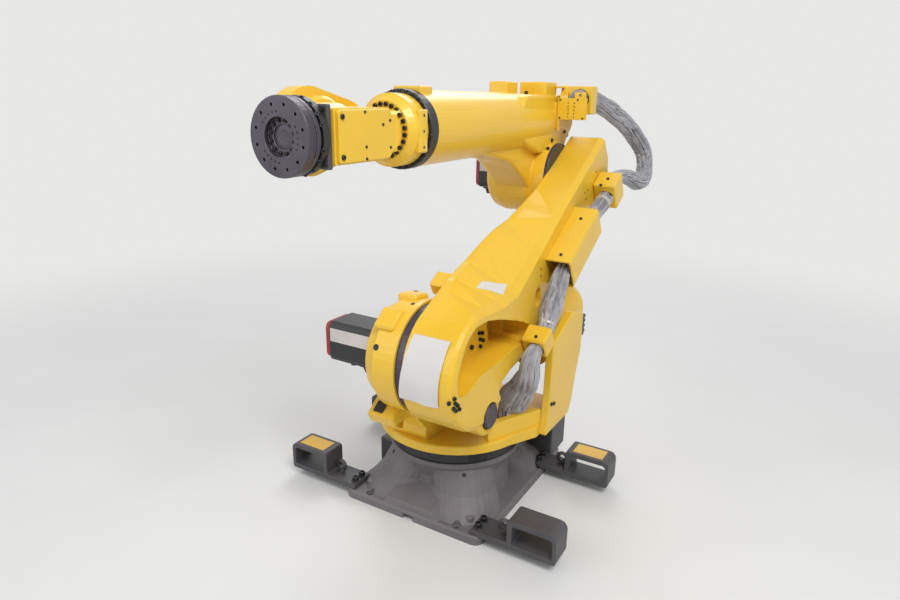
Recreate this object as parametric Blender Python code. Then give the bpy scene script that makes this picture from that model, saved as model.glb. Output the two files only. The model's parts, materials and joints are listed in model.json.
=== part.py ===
"""Six-axis industrial robot arm, drawn in its leaned-back shipping pose.

Metres, +Z up, +X forward, +Y to the robot's left. The first axis stands on the origin.
Every moving body hangs from an empty that sits on its joint's axis. The lower arm is
drawn upright in its own frame and its empty leans it back.
"""
import math

import bmesh
import bpy
from mathutils import Matrix, Vector

# Seats: the air between two pieces that touch, and the running gap of a pin in its bore.
GAP = 0.0003
RUNNING = 0.0005
SEAT = 0.0008

# Reach of the arm, from axis to axis.
SHOULDER_X = 0.312
SHOULDER_Z = 0.670
LOWER_ARM = 1.075
ELBOW_RISE = 0.225
FOREARM = 1.280
LEAN = math.radians(-60.0)

# Foot and pedestal.
FOOT_FRONT = 0.345
FOOT_REAR = -0.426
FOOT_SIDE = 0.305
FOOT_THICK = 0.035
PEDESTAL_TOP = 0.218
RING_RADIUS = 0.264
TURRET_Z = 0.278
TURRET_RADIUS = 0.303
FLOOR_Z = 0.318

# Fork pockets.
POCKET_FRONT_X = 0.285
POCKET_REAR_X = -0.255
POCKET_LONG = 0.100
POCKET_IN = 0.405
POCKET_OUT = 0.588
POCKET_TOP = 0.150
POCKET_WALL = 0.020

# Cable entry box behind the foot.
BOX_REAR = -0.470
BOX_SIDE = 0.300

# Shoulder, from the motor on the right to the outer face of the arm on the left.
SHOULDER_RADIUS = 0.200
SHOULDER_RIGHT = -0.085
SHOULDER_LEFT = 0.060
SKIRT_RIGHT = -0.150
STOP_TIP = (0.450, 0.466)
STOP_HEAD = (0.390, 0.508)
STOP_SIDES = (-0.102, 0.010)
MOTOR_LONG = 0.228
MOTOR_X = -0.195
MOTOR_Y = -0.085
MOTOR_SEAT = 0.440
ARM_INNER = 0.100
ARM_ELBOW_INNER = 0.138
ARM_OUTER = 0.290
ELBOW_LEFT = 0.122
ELBOW_RIGHT = -0.140
ELBOW_MOTOR_LONG = 0.079
ELBOW_RING = 0.138

# Balancer: its trunnion on the turret, its pin on the arm, and the plane they swing in.
TRUNNION_X = -0.300
TRUNNION_Z = 0.5975
PIN_T = -0.190
PIN_S = -0.050
BALANCER_Y = 0.200
BALANCER_RADIUS = 0.110
PIN_RADIUS = 0.020
PIN_HEAD_Y = ARM_OUTER - 0.014
ROD_RADIUS = 0.022
SLOT_HALF = 0.029
WALL_INNER = 0.345
WALL_OUTER = 0.375
WALL_REAR = -0.385
EAR_LEFT = 0.045

# Forearm, wrist and flange, along the fourth axis.
TUBE_RADIUS = 0.118
TUBE_FRONT = 0.961
ROLL_FACE = 1.000
RING_OUTER = 0.1214
CHEEK_RADIUS = 0.124
FORK_HALF = 0.062
BEND_INNER = -0.105
BEND_OUTER = -0.165
HOUSING_LEFT = 0.098
HOUSING_FRONT = 0.139
FLANGE_RADIUS = 0.100
FLANGE_FACE = 0.230

# Harness.
SLEEVE = 0.030
LOOSE_SLEEVE = 0.042
LOOP_SLEEVE = 0.040
CLAMP_T = -0.150
CLAMP_Y = ARM_OUTER + 0.055
CLAMP_LOW = 0.245
CLAMP_LONG = 0.080
TOP_CLAMP_T = -0.080
TOP_CLAMP_LOW = LOWER_ARM - 0.015
TOP_CLAMP_LONG = 0.100
GUARD_LOW = LOWER_ARM - 0.535
GUARD_HIGH = LOWER_ARM - 0.215
GUARD_OUTER = ARM_OUTER + 0.100
LOOP_Y = 0.196
LOOP_Z = 0.318

# Bracket beside the elbow, outside the circle that the lower arm's end sweeps.
BRACKET_X = 0.0125
BRACKET_Y = 0.120
BRACKET_LOW = 0.236
BRACKET_THICK = 0.006

FINISHES = {
    "paint": ((0.95, 0.55, 0.02), 0.42, 0.0),
    "base_grey": ((0.17, 0.155, 0.16), 0.55, 0.0),
    "dark_grey": ((0.06, 0.057, 0.062), 0.5, 0.1),
    "gunmetal": ((0.11, 0.095, 0.12), 0.35, 0.8),
    "black": ((0.015, 0.015, 0.017), 0.45, 0.0),
    "steel": ((0.42, 0.42, 0.44), 0.3, 0.9),
    "red": ((0.45, 0.02, 0.02), 0.4, 0.0),
    "sleeve": ((0.30, 0.31, 0.33), 0.6, 0.0),
    "rubber": ((0.03, 0.028, 0.025), 0.8, 0.0),
}


# Small helpers that draw outlines and solids.


def clear_scene():
    """Remove every object that is in the scene."""
    for thing in list(bpy.data.objects):
        bpy.data.objects.remove(thing, do_unlink=True)


def finish(name):
    """The Principled material of one finish, made on first use."""
    known = bpy.data.materials.get(name)
    if known is not None:
        return known
    colour, roughness, metallic = FINISHES[name]
    made = bpy.data.materials.new(name)
    made.use_nodes = True
    shader = made.node_tree.nodes["Principled BSDF"]
    shader.inputs["Base Color"].default_value = (*colour, 1.0)
    shader.inputs["Roughness"].default_value = roughness
    shader.inputs["Metallic"].default_value = metallic
    made.diffuse_color = (*colour, 1.0)
    return made


def joint_empty(name, parent, location, pitch=0.0):
    """An empty on a joint's axis. pitch turns it about Y."""
    empty = bpy.data.objects.new(name, None)
    bpy.context.scene.collection.objects.link(empty)
    empty.parent = parent
    empty.location = location
    empty.rotation_euler = (0.0, pitch, 0.0)
    return empty


def piece(name, solid, look, carrier):
    """Turn a bmesh into a named object that hangs from its joint's empty."""
    bmesh.ops.recalc_face_normals(solid, faces=solid.faces)
    mesh = bpy.data.meshes.new(name)
    solid.to_mesh(mesh)
    solid.free()
    mesh.polygons.foreach_set("use_smooth", [True] * len(mesh.polygons))
    mesh.set_sharp_from_angle(angle=math.radians(32.0))
    own = finish(look).copy()
    own.name = name + "_" + look
    mesh.materials.append(own)
    thing = bpy.data.objects.new(name, mesh)
    bpy.context.scene.collection.objects.link(thing)
    thing.parent = carrier
    return thing


def circle(centre, radius, sides=24, start=0.0):
    """Points round a circle."""
    turn = 2.0 * math.pi / sides
    return [
        (centre[0] + radius * math.cos(start + turn * i), centre[1] + radius * math.sin(start + turn * i))
        for i in range(sides)
    ]


def belt(circles, sides=48):
    """The outline of a belt pulled tight round circles given as (x, z, radius)."""
    points = sorted({p for x, z, r in circles for p in circle((x, z), r, sides)})

    def half(run):
        kept = []
        for p in run:
            while len(kept) > 1 and turn_of(kept[-2], kept[-1], p) <= 1e-12:
                kept.pop()
            kept.append(p)
        return kept[:-1]

    return half(points) + half(points[::-1])


def turn_of(a, b, c):
    """Twice the signed area of a triangle, positive when it turns left."""
    return (b[0] - a[0]) * (c[1] - a[1]) - (b[1] - a[1]) * (c[0] - a[0])


def rounded(corners, steps=4):
    """A polygon whose corners, given as (x, z, radius), are rounded."""
    outline = []
    count = len(corners)
    for i, (x, z, radius) in enumerate(corners):
        here = Vector((x, z))
        back = (Vector(corners[i - 1][:2]) - here).normalized()
        ahead = (Vector(corners[(i + 1) % count][:2]) - here).normalized()
        half = back.angle(ahead) / 2.0
        if radius <= 0.0 or half > math.radians(89.0):
            outline.append((x, z))
            continue
        centre = here + (back + ahead).normalized() * (radius / math.sin(half))
        first = here + back * (radius / math.tan(half)) - centre
        last = here + ahead * (radius / math.tan(half)) - centre
        sweep = first.angle_signed(last)
        for k in range(steps + 1):
            spoke = first.copy()
            spoke.rotate(Matrix.Rotation(-sweep * k / steps, 2))
            outline.append(tuple(centre + spoke))
    return outline


def square(x, z, half, radius):
    """A square outline with rounded corners."""
    return rounded(
        [
            (x - half, z - half, radius),
            (x + half, z - half, radius),
            (x + half, z + half, radius),
            (x - half, z + half, radius),
        ],
        2,
    )


def lay(point, height, axis):
    """A point of an outline, raised along the axis that the outline is square to."""
    u, v = point
    if axis == "X":
        return (height, u, v)
    if axis == "Y":
        return (u, height, v)
    return (u, v, height)


def slab(outline, low, high, axis="Y"):
    """An outline pushed along an axis into a solid."""
    solid = bmesh.new()
    base = solid.faces.new([solid.verts.new(lay(p, low, axis)) for p in outline])
    grown = bmesh.ops.extrude_face_region(solid, geom=[base])["geom"]
    shift = Vector(lay((0.0, 0.0), high - low, axis))
    bmesh.ops.translate(solid, verts=[g for g in grown if isinstance(g, bmesh.types.BMVert)], vec=shift)
    bmesh.ops.recalc_face_normals(solid, faces=solid.faces)
    return solid


def soften(solid, width, level, axis="Y", segments=2):
    """Round the rim of a slab at one end."""
    index = "XYZ".index(axis)
    rim = [
        e
        for e in solid.edges
        if all(abs(v.co[index] - level) < 1e-6 for v in e.verts)
    ]
    bmesh.ops.bevel(solid, geom=rim, offset=width, segments=segments, profile=0.5, affect="EDGES")
    return solid


def turned(profile, axis="Y", centre=(0.0, 0.0), sides=44):
    """A solid of revolution from (height, radius) pairs, round an axis through centre."""
    solid = bmesh.new()
    rings = []
    for height, radius in profile:
        if radius <= 0.0:
            rings.append([solid.verts.new(lay(centre, height, axis))])
        else:
            rings.append([solid.verts.new(lay(p, height, axis)) for p in circle(centre, radius, sides)])
    for low, high in zip(rings, rings[1:]):
        for i in range(sides):
            quad = [low[i % len(low)], low[(i + 1) % len(low)], high[(i + 1) % len(high)], high[i % len(high)]]
            corners = list(dict.fromkeys(quad))
            if len(corners) > 2:
                solid.faces.new(corners)
    for ring in (rings[0], rings[-1]):
        if len(ring) > 1:
            solid.faces.new(ring)
    flat_caps(solid)
    bmesh.ops.recalc_face_normals(solid, faces=solid.faces)
    return solid


def flat_caps(solid):
    """Melt the fan of triangles of each flat cap into one face."""
    bmesh.ops.dissolve_limit(
        solid, angle_limit=math.radians(0.05), verts=solid.verts, edges=solid.edges
    )


def loft(sections):
    """A solid skinned over rings of points that all have the same count."""
    solid = bmesh.new()
    rings = [[solid.verts.new(p) for p in ring] for ring in sections]
    count = len(rings[0])
    for low, high in zip(rings, rings[1:]):
        for i in range(count):
            solid.faces.new([low[i], low[(i + 1) % count], high[(i + 1) % count], high[i]])
    solid.faces.new(rings[0])
    solid.faces.new(rings[-1])
    bmesh.ops.recalc_face_normals(solid, faces=solid.faces)
    return solid


def box(low, high, chamfer=0.0):
    """A block between two corners, with its edges broken."""
    solid = bmesh.new()
    size = [h - l for l, h in zip(low, high)]
    middle = [(h + l) / 2.0 for l, h in zip(low, high)]
    bmesh.ops.create_cube(solid, size=1.0, matrix=Matrix.Translation(middle) @ Matrix.Diagonal((*size, 1.0)))
    if chamfer > 0.0:
        bmesh.ops.bevel(solid, geom=solid.edges[:], offset=chamfer, segments=1, affect="EDGES")
    return solid


def moved(solid, offset=(0.0, 0.0, 0.0), angle=0.0, axis="Y", about=(0.0, 0.0, 0.0)):
    """Turn a solid about a point, then shift it."""
    if angle:
        bmesh.ops.rotate(solid, verts=solid.verts, cent=about, matrix=Matrix.Rotation(angle, 3, axis))
    bmesh.ops.translate(solid, verts=solid.verts, vec=offset)
    return solid


def mirrored(solid):
    """The same solid on the robot's right side."""
    bmesh.ops.scale(solid, verts=solid.verts, vec=(1.0, -1.0, 1.0))
    bmesh.ops.reverse_faces(solid, faces=solid.faces)
    return solid


def combine(solid, others, operation):
    """Join other solids to this one, or cut them from it, with exact Booleans."""
    made = []
    for part in [solid, *others]:
        mesh = bpy.data.meshes.new("part")
        bmesh.ops.recalc_face_normals(part, faces=part.faces)
        part.to_mesh(mesh)
        part.free()
        thing = bpy.data.objects.new("part", mesh)
        bpy.context.scene.collection.objects.link(thing)
        made.append(thing)
    for tool in made[1:]:
        step = made[0].modifiers.new("step", "BOOLEAN")
        step.operation = operation
        step.solver = "EXACT"
        step.object = tool
    graph = bpy.context.evaluated_depsgraph_get()
    result = bmesh.new()
    result.from_mesh(made[0].evaluated_get(graph).to_mesh())
    for thing in made:
        mesh = thing.data
        bpy.data.objects.remove(thing, do_unlink=True)
        bpy.data.meshes.remove(mesh)
    return result


def fused(solid, *others):
    """Several solids cast in one."""
    return combine(solid, others, "UNION")


def carved(solid, *tools):
    """A solid with other solids cut from it."""
    return combine(solid, tools, "DIFFERENCE")


def hose(name, points, radius, carrier):
    """A sleeve along a smooth curve through its route's points, straight at both ends."""
    first, *middle, last = [Vector(p) for p in points]
    route = [first, *smooth_route(middle), last]
    curve = bpy.data.curves.new(name, "CURVE")
    curve.dimensions = "3D"
    curve.bevel_depth = radius
    curve.bevel_resolution = 3
    curve.use_fill_caps = True
    line = curve.splines.new("POLY")
    line.points.add(len(route) - 1)
    for point, place in zip(line.points, route):
        point.co = (*place, 1.0)
    own = finish("sleeve").copy()
    own.name = name + "_sleeve"
    curve.materials.append(own)
    thing = bpy.data.objects.new(name, curve)
    bpy.context.scene.collection.objects.link(thing)
    thing.parent = carrier
    return thing


def smooth_route(points, spacing=0.045):
    """Even points along a Catmull-Rom curve through the given ones."""
    ends = [points[0] * 2.0 - points[1], *points, points[-1] * 2.0 - points[-2]]
    fine = []
    for p0, p1, p2, p3 in zip(ends, ends[1:], ends[2:], ends[3:]):
        for k in range(24):
            t = k / 24.0
            fine.append(
                0.5
                * (
                    2.0 * p1
                    + (p2 - p0) * t
                    + (2.0 * p0 - 5.0 * p1 + 4.0 * p2 - p3) * t * t
                    + (3.0 * p1 - p0 - 3.0 * p2 + p3) * t * t * t
                )
            )
    fine.append(points[-1])
    length = sum((b - a).length for a, b in zip(fine, fine[1:]))
    steps = max(3, round(length / spacing))
    marks = [length * i / steps for i in range(1, steps)]
    route = [fine[0]]
    walked = 0.0
    for a, b in zip(fine, fine[1:]):
        stretch = (b - a).length
        while marks and walked + stretch >= marks[0]:
            route.append(a.lerp(b, (marks.pop(0) - walked) / stretch))
        walked += stretch
    route.append(fine[-1])
    return route


# The base.


def foot_lobe(front, side, grow=0.0):
    """One flared lobe of the pedestal, from under the ring down to its corner pad."""
    reach = 0.185 if front > 0.0 else 0.235
    rings = []
    for height, share, radius in (
        (PEDESTAL_TOP - 0.012, 0.34, 0.136),
        (0.160, 0.50, 0.128),
        (0.105, 0.68, 0.126),
        (0.065, 0.86, 0.134),
        (FOOT_THICK - 0.012, 1.0, 0.144),
    ):
        centre = (front * (0.030 + reach * share - 0.030 * share), side * (0.035 + 0.120 * share))
        rings.append([(x, y, height) for x, y in circle(centre, radius + grow, 28)])
    return loft(rings)


def pedestal_shapes(grow=0.0):
    """The round drum under the ring and its four lobes, grown where a cover fits round them."""
    drum = turned(
        [
            (0.010, 0.238 + grow),
            (0.060, 0.226 + grow),
            (0.130, 0.222 + grow),
            (0.180, 0.236 + grow),
            (0.198, 0.262 + grow),
            (PEDESTAL_TOP, 0.262 + grow),
        ],
        "Z",
    )
    return [drum, *(foot_lobe(way, side, grow) for way in (1.0, -1.0) for side in (1.0, -1.0))]


def base_casting():
    """Foot plate, flared pedestal and the raised front with its bare panel."""
    foot = slab(
        rounded(
            [
                (FOOT_REAR, -FOOT_SIDE, 0.035),
                (FOOT_FRONT, -FOOT_SIDE, 0.035),
                (FOOT_FRONT, FOOT_SIDE, 0.035),
                (FOOT_REAR, FOOT_SIDE, 0.035),
            ]
        ),
        0.0,
        FOOT_THICK,
        "Z",
    )
    soften(foot, 0.006, FOOT_THICK, "Z", 1)
    slope = math.atan2(0.062, 0.185)
    front = loft(
        [
            [(FOOT_FRONT, -0.150, 0.004), (FOOT_FRONT, 0.150, 0.004), (0.120, 0.150, 0.004), (0.120, -0.150, 0.004)],
            [(0.335, -0.098, 0.064), (0.335, 0.098, 0.064), (0.120, 0.098, 0.136), (0.120, -0.098, 0.136)],
        ]
    )
    bosses = [
        turned([(0.010, 0.016), (0.058, 0.016), (0.061, 0.013)], "Z", (0.272, side * 0.226), 16)
        for side in (1.0, -1.0)
    ]
    casting = fused(foot, *pedestal_shapes(), front, *bosses)
    tools = []
    for x, y in foot_holes():
        tools.append(turned([(-0.010, 0.0095), (0.060, 0.0095)], "Z", (x, y), 14))
        tools.append(turned([(FOOT_THICK - 0.008, 0.017), (0.060, 0.017)], "Z", (x, y), 16))
    panel = box((0.288, -0.062, 0.0), (0.330, 0.088, 0.040))
    moved(panel, (0.0, 0.0, 0.0635), slope, "Y", (0.335, 0.0, 0.0))
    tools.append(panel)
    tools.append(box((FOOT_FRONT - 0.018, -0.024, -0.010), (FOOT_FRONT + 0.010, 0.022, 0.022)))
    return carved(casting, *tools)


def foot_holes():
    """Where the anchor bolts go, two to a corner."""
    return [
        (x, side * y)
        for x, y in ((0.318, 0.196), (-0.215, 0.286), (-0.400, 0.230))
        for side in (1.0, -1.0)
    ]


def bearing_ring():
    """The dark bearing between the pedestal and the turret."""
    return turned(
        [
            (PEDESTAL_TOP + GAP, 0.256),
            (PEDESTAL_TOP + 0.010, RING_RADIUS),
            (TURRET_Z - 0.006, RING_RADIUS),
            (TURRET_Z - GAP, 0.258),
        ],
        "Z",
    )


def connector_box():
    """The dark cable entry box across the back of the foot."""
    shell = box((BOX_REAR, -BOX_SIDE, FOOT_THICK + GAP), (-0.312, BOX_SIDE, 0.238), 0.006)
    recess = box((BOX_REAR - 0.030, 0.050 - BOX_SIDE, 0.070), (BOX_REAR + 0.008, BOX_SIDE - 0.050, 0.205))
    return carved(shell, recess, *pedestal_shapes(SEAT))


def cable_cover():
    """The dark cover on the right flank of the pedestal."""
    shell = box((-0.100, -0.300, FOOT_THICK + GAP), (0.110, -0.200, 0.155), 0.005)
    return carved(shell, *pedestal_shapes(SEAT))


def fork_bracket(x, side):
    """A pocket for a lifting fork, on a plate that is bolted to the foot, with an eye."""
    low = FOOT_THICK + GAP
    plate_top = low + POCKET_WALL
    outer = rounded(
        [
            (0.262, low, 0.0),
            (POCKET_OUT, low, 0.012),
            (POCKET_OUT, POCKET_TOP, 0.026),
            (POCKET_IN, POCKET_TOP, 0.012),
            (POCKET_IN, plate_top, 0.010),
            (0.262, plate_top, 0.004),
        ],
        3,
    )
    inner = rounded(
        [
            (POCKET_IN + 0.018, plate_top, 0.004),
            (POCKET_OUT - 0.014, plate_top, 0.004),
            (POCKET_OUT - 0.014, POCKET_TOP - 0.020, 0.014),
            (POCKET_IN + 0.018, POCKET_TOP - 0.020, 0.010),
        ],
        3,
    )
    half = POCKET_LONG / 2.0
    frame = slab(outer, x - half, x + half, "X")
    eye = turned([(-0.008, 0.018), (0.0, 0.027), (0.008, 0.018)], "X", (0.374, plate_top + 0.026), 16)
    moved(eye, (x - 0.010, 0.0, 0.0))
    stem = turned([(plate_top - 0.004, 0.013), (plate_top + 0.008, 0.013)], "Z", (x - 0.010, 0.374), 16)
    frame = fused(frame, eye, stem)
    pocket = slab(inner, x - half - 0.01, x + half + 0.01, "X")
    hole = turned([(-0.020, 0.013), (0.020, 0.013)], "X", (0.374, plate_top + 0.028), 12)
    moved(hole, (x - 0.010, 0.0, 0.0))
    frame = carved(frame, pocket, hole, *pedestal_shapes(SEAT))
    return frame if side > 0.0 else mirrored(frame)


# The turret.


def turret_floor():
    """The turret's round flange with its floor carried out to the left wall."""
    flange = turned(
        [(TURRET_Z, 0.294), (TURRET_Z + 0.006, TURRET_RADIUS), (FLOOR_Z - 0.004, TURRET_RADIUS), (FLOOR_Z, 0.298)],
        "Z",
        sides=56,
    )
    shelf = slab(
        rounded(
            [
                (-0.318, 0.020, 0.02),
                (0.150, 0.100, 0.0),
                (0.176, 0.236, 0.02),
                (-0.030, WALL_INNER - GAP, 0.012),
                (-0.318, WALL_INNER - GAP, 0.02),
            ]
        ),
        TURRET_Z,
        FLOOR_Z,
        "Z",
    )
    return fused(flange, shelf)


def turret_casting():
    """Shoulder housing, floor, balancer ear and front stop in one casting."""
    axle = (SHOULDER_X, SHOULDER_Z)
    body = slab(
        belt([(*axle, SHOULDER_RADIUS - 0.022), (0.194, 0.350, 0.052), (-0.180, 0.362, 0.060)]),
        SHOULDER_RIGHT + 0.020,
        EAR_LEFT - 0.003,
    )
    soften(body, 0.018, SHOULDER_RIGHT + 0.020)
    skirt = slab(
        belt([(0.233, 0.349, 0.050), (0.178, 0.430, 0.060), (-0.178, 0.363, 0.057)], 40), SKIRT_RIGHT, EAR_LEFT - 0.006
    )
    soften(skirt, 0.012, SKIRT_RIGHT)
    lobe = turned(
        [
            (SHOULDER_RIGHT, 0.148),
            (SHOULDER_RIGHT + 0.008, 0.168),
            (SHOULDER_RIGHT + 0.048, 0.184),
            (SHOULDER_RIGHT + 0.058, SHOULDER_RADIUS),
            (SHOULDER_LEFT - GAP, SHOULDER_RADIUS),
        ],
        "Y",
        axle,
        56,
    )
    ear = slab(
        belt([(TRUNNION_X, TRUNNION_Z, 0.068), (-0.200, 0.347, 0.047), (0.097, 0.404, 0.057)], 30),
        0.012,
        EAR_LEFT,
    )
    humps = [
        moved(box((-0.042, -0.048, 0.150), (0.042, 0.030, SHOULDER_RADIUS + 0.014), 0.008), (axle[0], 0.0, axle[1]), a)
        for a in (math.radians(-6.0), math.radians(38.0))
    ]
    seat = turned([(0.330, 0.096), (MOTOR_SEAT, 0.090)], "Z", (MOTOR_X, MOTOR_Y), 32)
    guard = slab(
        [(0.166, 0.236), (0.150, 0.214), (-0.060, WALL_INNER - 0.030), (-0.060, WALL_INNER - GAP)],
        FLOOR_Z - 0.010,
        0.385,
        "Z",
    )
    casting = fused(turret_floor(), body, skirt, lobe, ear, stop_block(), *humps, seat, guard)
    window = box((0.205, SKIRT_RIGHT + 0.015, 0.338), (0.330, -0.062, 0.392), 0.008)
    room = box((MOTOR_X - 0.110, MOTOR_Y - 0.130, MOTOR_SEAT), (MOTOR_X + 0.078, MOTOR_Y + 0.078, 0.720))
    return carved(casting, window, room)


def stop_block():
    """The wedge in front of the shoulder whose sloped face carries the rubber pad."""
    outline = [
        (STOP_TIP[0] - 0.160, STOP_TIP[1] - 0.034),
        (STOP_TIP[0] - 0.018, STOP_TIP[1] - 0.034),
        STOP_TIP,
        STOP_HEAD,
        (STOP_TIP[0] - 0.160, STOP_HEAD[1] + 0.008),
    ]
    return soften(soften(slab(outline, *STOP_SIDES), 0.006, STOP_SIDES[0], "Y", 1), 0.006, STOP_SIDES[1], "Y", 1)


def stop_pad():
    """The rubber pad on the sloped face of the stop block."""
    back = STOP_TIP[0] - STOP_HEAD[0]
    rise = STOP_HEAD[1] - STOP_TIP[1]
    middle = ((STOP_TIP[0] + STOP_HEAD[0]) / 2.0, (STOP_TIP[1] + STOP_HEAD[1]) / 2.0)
    half = math.hypot(back, rise) / 2.0 - 0.015
    low = STOP_SIDES[0] + 0.022
    high = STOP_SIDES[1] - 0.052
    pad = box((GAP, low, -half), (GAP + 0.007, high, half), 0.002)
    return moved(pad, (middle[0], 0.0, middle[1]), -math.atan2(back, rise))


def side_wall():
    """The left wall, bolted to the floor's edge, that carries the balancer's outer end."""
    outline = rounded(
        [
            (-0.050, TURRET_Z + 0.003, 0.006),
            (-0.072, 0.430, 0.02),
            (-0.078, 0.652, 0.012),
            (-0.262, 0.730, 0.02),
            (WALL_REAR, 0.695, 0.012),
            (WALL_REAR, 0.545, 0.02),
            (-0.350, 0.450, 0.02),
            (-0.316, 0.330, 0.02),
            (-0.284, TURRET_Z + 0.003, 0.010),
        ]
    )
    return soften(slab(outline, WALL_INNER, WALL_OUTER), 0.004, WALL_OUTER, "Y", 1)


def wall_connectors():
    """The black connector strip behind the wall's rear edge."""
    return box((WALL_REAR - 0.035, WALL_INNER + 0.005, 0.585), (WALL_REAR - GAP, WALL_OUTER - 0.005, 0.675), 0.002)


def side_motor(length, half, start, centre):
    """A square servo motor with broken corners, from its seat out to the right."""
    return slab(square(*centre, half, 0.020), start - length, start)


def first_motor():
    """The upright motor that turns the turret."""
    outline = square(MOTOR_X, MOTOR_Y, 0.065, 0.018)
    return soften(slab(outline, MOTOR_SEAT + GAP, 0.640, "Z"), 0.006, 0.640, "Z", 1)


# The balancer, along its own axis, +X towards the pin on the arm.


def balancer_cylinder():
    """The domed spring cylinder, open in front for its rod, on two trunnions."""
    front = 0.100
    shell = turned(
        [
            (-0.160, 0.0),
            (-0.160, 0.064),
            (front, 0.064),
            (front, BALANCER_RADIUS - 0.012),
            (front - 0.012, BALANCER_RADIUS),
            (-0.270, BALANCER_RADIUS),
            (-0.305, BALANCER_RADIUS - 0.014),
            (-0.325, 0.066),
            (-0.330, 0.0),
        ],
        "X",
        sides=36,
    )
    root = BALANCER_RADIUS - 0.015
    left = turned([(root, 0.030), (WALL_INNER - GAP - BALANCER_Y, 0.030)], "Y", sides=24)
    right = turned([(-root, 0.030), (EAR_LEFT + GAP - BALANCER_Y, 0.030)], "Y", sides=24)
    return fused(shell, left, right)


def balancer_rod():
    """The pull rod and its eye, from the arm's pin into the cylinder."""
    rod = turned([(-0.505, 0.016), (-0.500, ROD_RADIUS), (-0.025, ROD_RADIUS)], "X", sides=24)
    eye = turned([(-0.022, 0.040), (-0.018, 0.044), (0.018, 0.044), (0.022, 0.040)], "Y", sides=32)
    bore = turned([(-0.050, PIN_RADIUS + RUNNING), (0.050, PIN_RADIUS + RUNNING)], "Y", sides=32)
    return carved(fused(rod, eye), bore)


# The lower arm, upright: x is towards its front, z runs up from the shoulder.


def arm_front():
    """What is cut from the front of the lower arm, so that its face slants back outward."""
    sections = []
    for s, inner, outer in (
        (-0.060, 0.250, 0.250),
        (0.050, 0.235, 0.206),
        (0.120, 0.214, 0.158),
        (0.200, 0.197, 0.106),
        (0.300, 0.184, 0.062),
        (0.420, 0.179, 0.066),
        (0.500, 0.171, 0.069),
        (0.600, 0.150, 0.074),
        (0.700, 0.128, 0.078),
        (0.880, 0.097, 0.081),
        (LOWER_ARM - 0.020, 0.084, 0.080),
        (LOWER_ARM + 0.320, 0.084, 0.080),
    ):
        crease = outer + 0.18 * (inner - outer)
        sections.append(
            [
                (inner, 0.0, s),
                (inner, ARM_INNER + 0.025, s),
                (crease, ARM_OUTER - 0.026, s),
                (outer - 0.012, ARM_OUTER + 0.001, s),
                (outer - 0.012, 0.400, s),
                (0.500, 0.400, s),
                (0.500, 0.0, s),
            ]
        )
    return loft(sections)


def arm_pocket():
    """The deep outer pocket between the arm's front and the rib down to the clevis."""
    outline = rounded(
        [
            (0.062, -0.172, 0.03),
            (0.128, -0.134, 0.05),
            (0.180, -0.046, 0.05),
            (0.184, 0.022, 0.04),
            (0.142, 0.094, 0.05),
            (0.080, 0.160, 0.06),
            (-0.032, 0.262, 0.08),
            (-0.128, 0.334, 0.025),
            (-0.170, 0.322, 0.014),
            (-0.132, 0.250, 0.03),
            (-0.058, 0.092, 0.05),
            (0.004, -0.030, 0.05),
            (0.028, -0.130, 0.03),
        ],
        3,
    )
    return slab(outline, 0.180, 0.400)


def lower_arm_casting():
    """The offset arm with its slanted front, outer pocket, balancer clevis and stop tab."""
    end = LOWER_ARM
    beam = slab(
        belt(
            [
                (0.0, 0.0, 0.212),
                (0.060, 0.420, 0.125),
                (0.050, end + 0.165, 0.035),
                (-0.030, end + 0.175, 0.040),
                (-0.100, end + 0.120, 0.064),
                (-0.045, end + 0.025, 0.130),
                (-0.115, 0.270, 0.135),
            ],
            48,
        ),
        ARM_INNER + GAP,
        ARM_OUTER,
    )
    soften(beam, 0.020, ARM_OUTER, "Y", 2)
    clevis = slab(
        belt([(PIN_T, PIN_S, 0.074), (-0.040, -0.030, 0.150)], 40), ARM_INNER + GAP, ARM_OUTER - 0.006
    )
    soften(clevis, 0.006, ARM_OUTER - 0.006, "Y", 1)
    tab = box((0.118, 0.020, 0.180), (0.172, ARM_INNER + 0.020, 0.250), 0.006)
    arm = fused(carved(beam, arm_front()), clevis, tab)
    notch = slab(
        rounded(
            [
                (-0.138, 0.034, 0.03),
                (-0.158, 0.140, 0.06),
                (-0.208, 0.262, 0.03),
                (-0.260, 0.290, 0.0),
                (-0.400, 0.290, 0.0),
                (-0.400, 0.034, 0.0),
            ]
        ),
        0.150,
        0.400,
    )
    slot = slab(
        belt([(PIN_T, PIN_S, 0.060), (-0.165, -0.300, 0.045), (-0.420, -0.050, 0.060), (-0.290, 0.260, 0.040)], 32),
        BALANCER_Y - SLOT_HALF,
        BALANCER_Y + SLOT_HALF,
    )
    window = slab(
        rounded(
            [
                (-0.030, 0.225, 0.014),
                (-0.062, 0.292, 0.016),
                (-0.125, 0.318, 0.016),
                (-0.165, 0.285, 0.014),
                (-0.110, 0.205, 0.014),
            ],
            2,
        ),
        0.130,
        0.300,
    )
    oval = slab(belt([(-0.066, 0.436, 0.024), (-0.092, 0.424, 0.024)], 24), 0.210, 0.400)
    bore = turned(
        [(0.130, PIN_RADIUS + GAP), (PIN_HEAD_Y, PIN_RADIUS + GAP), (PIN_HEAD_Y, 0.050), (0.400, 0.050)],
        "Y",
        (PIN_T, PIN_S),
        32,
    )
    return carved(arm, notch, slot, arm_pocket(), window, oval, bore, *elbow_relief())


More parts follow.
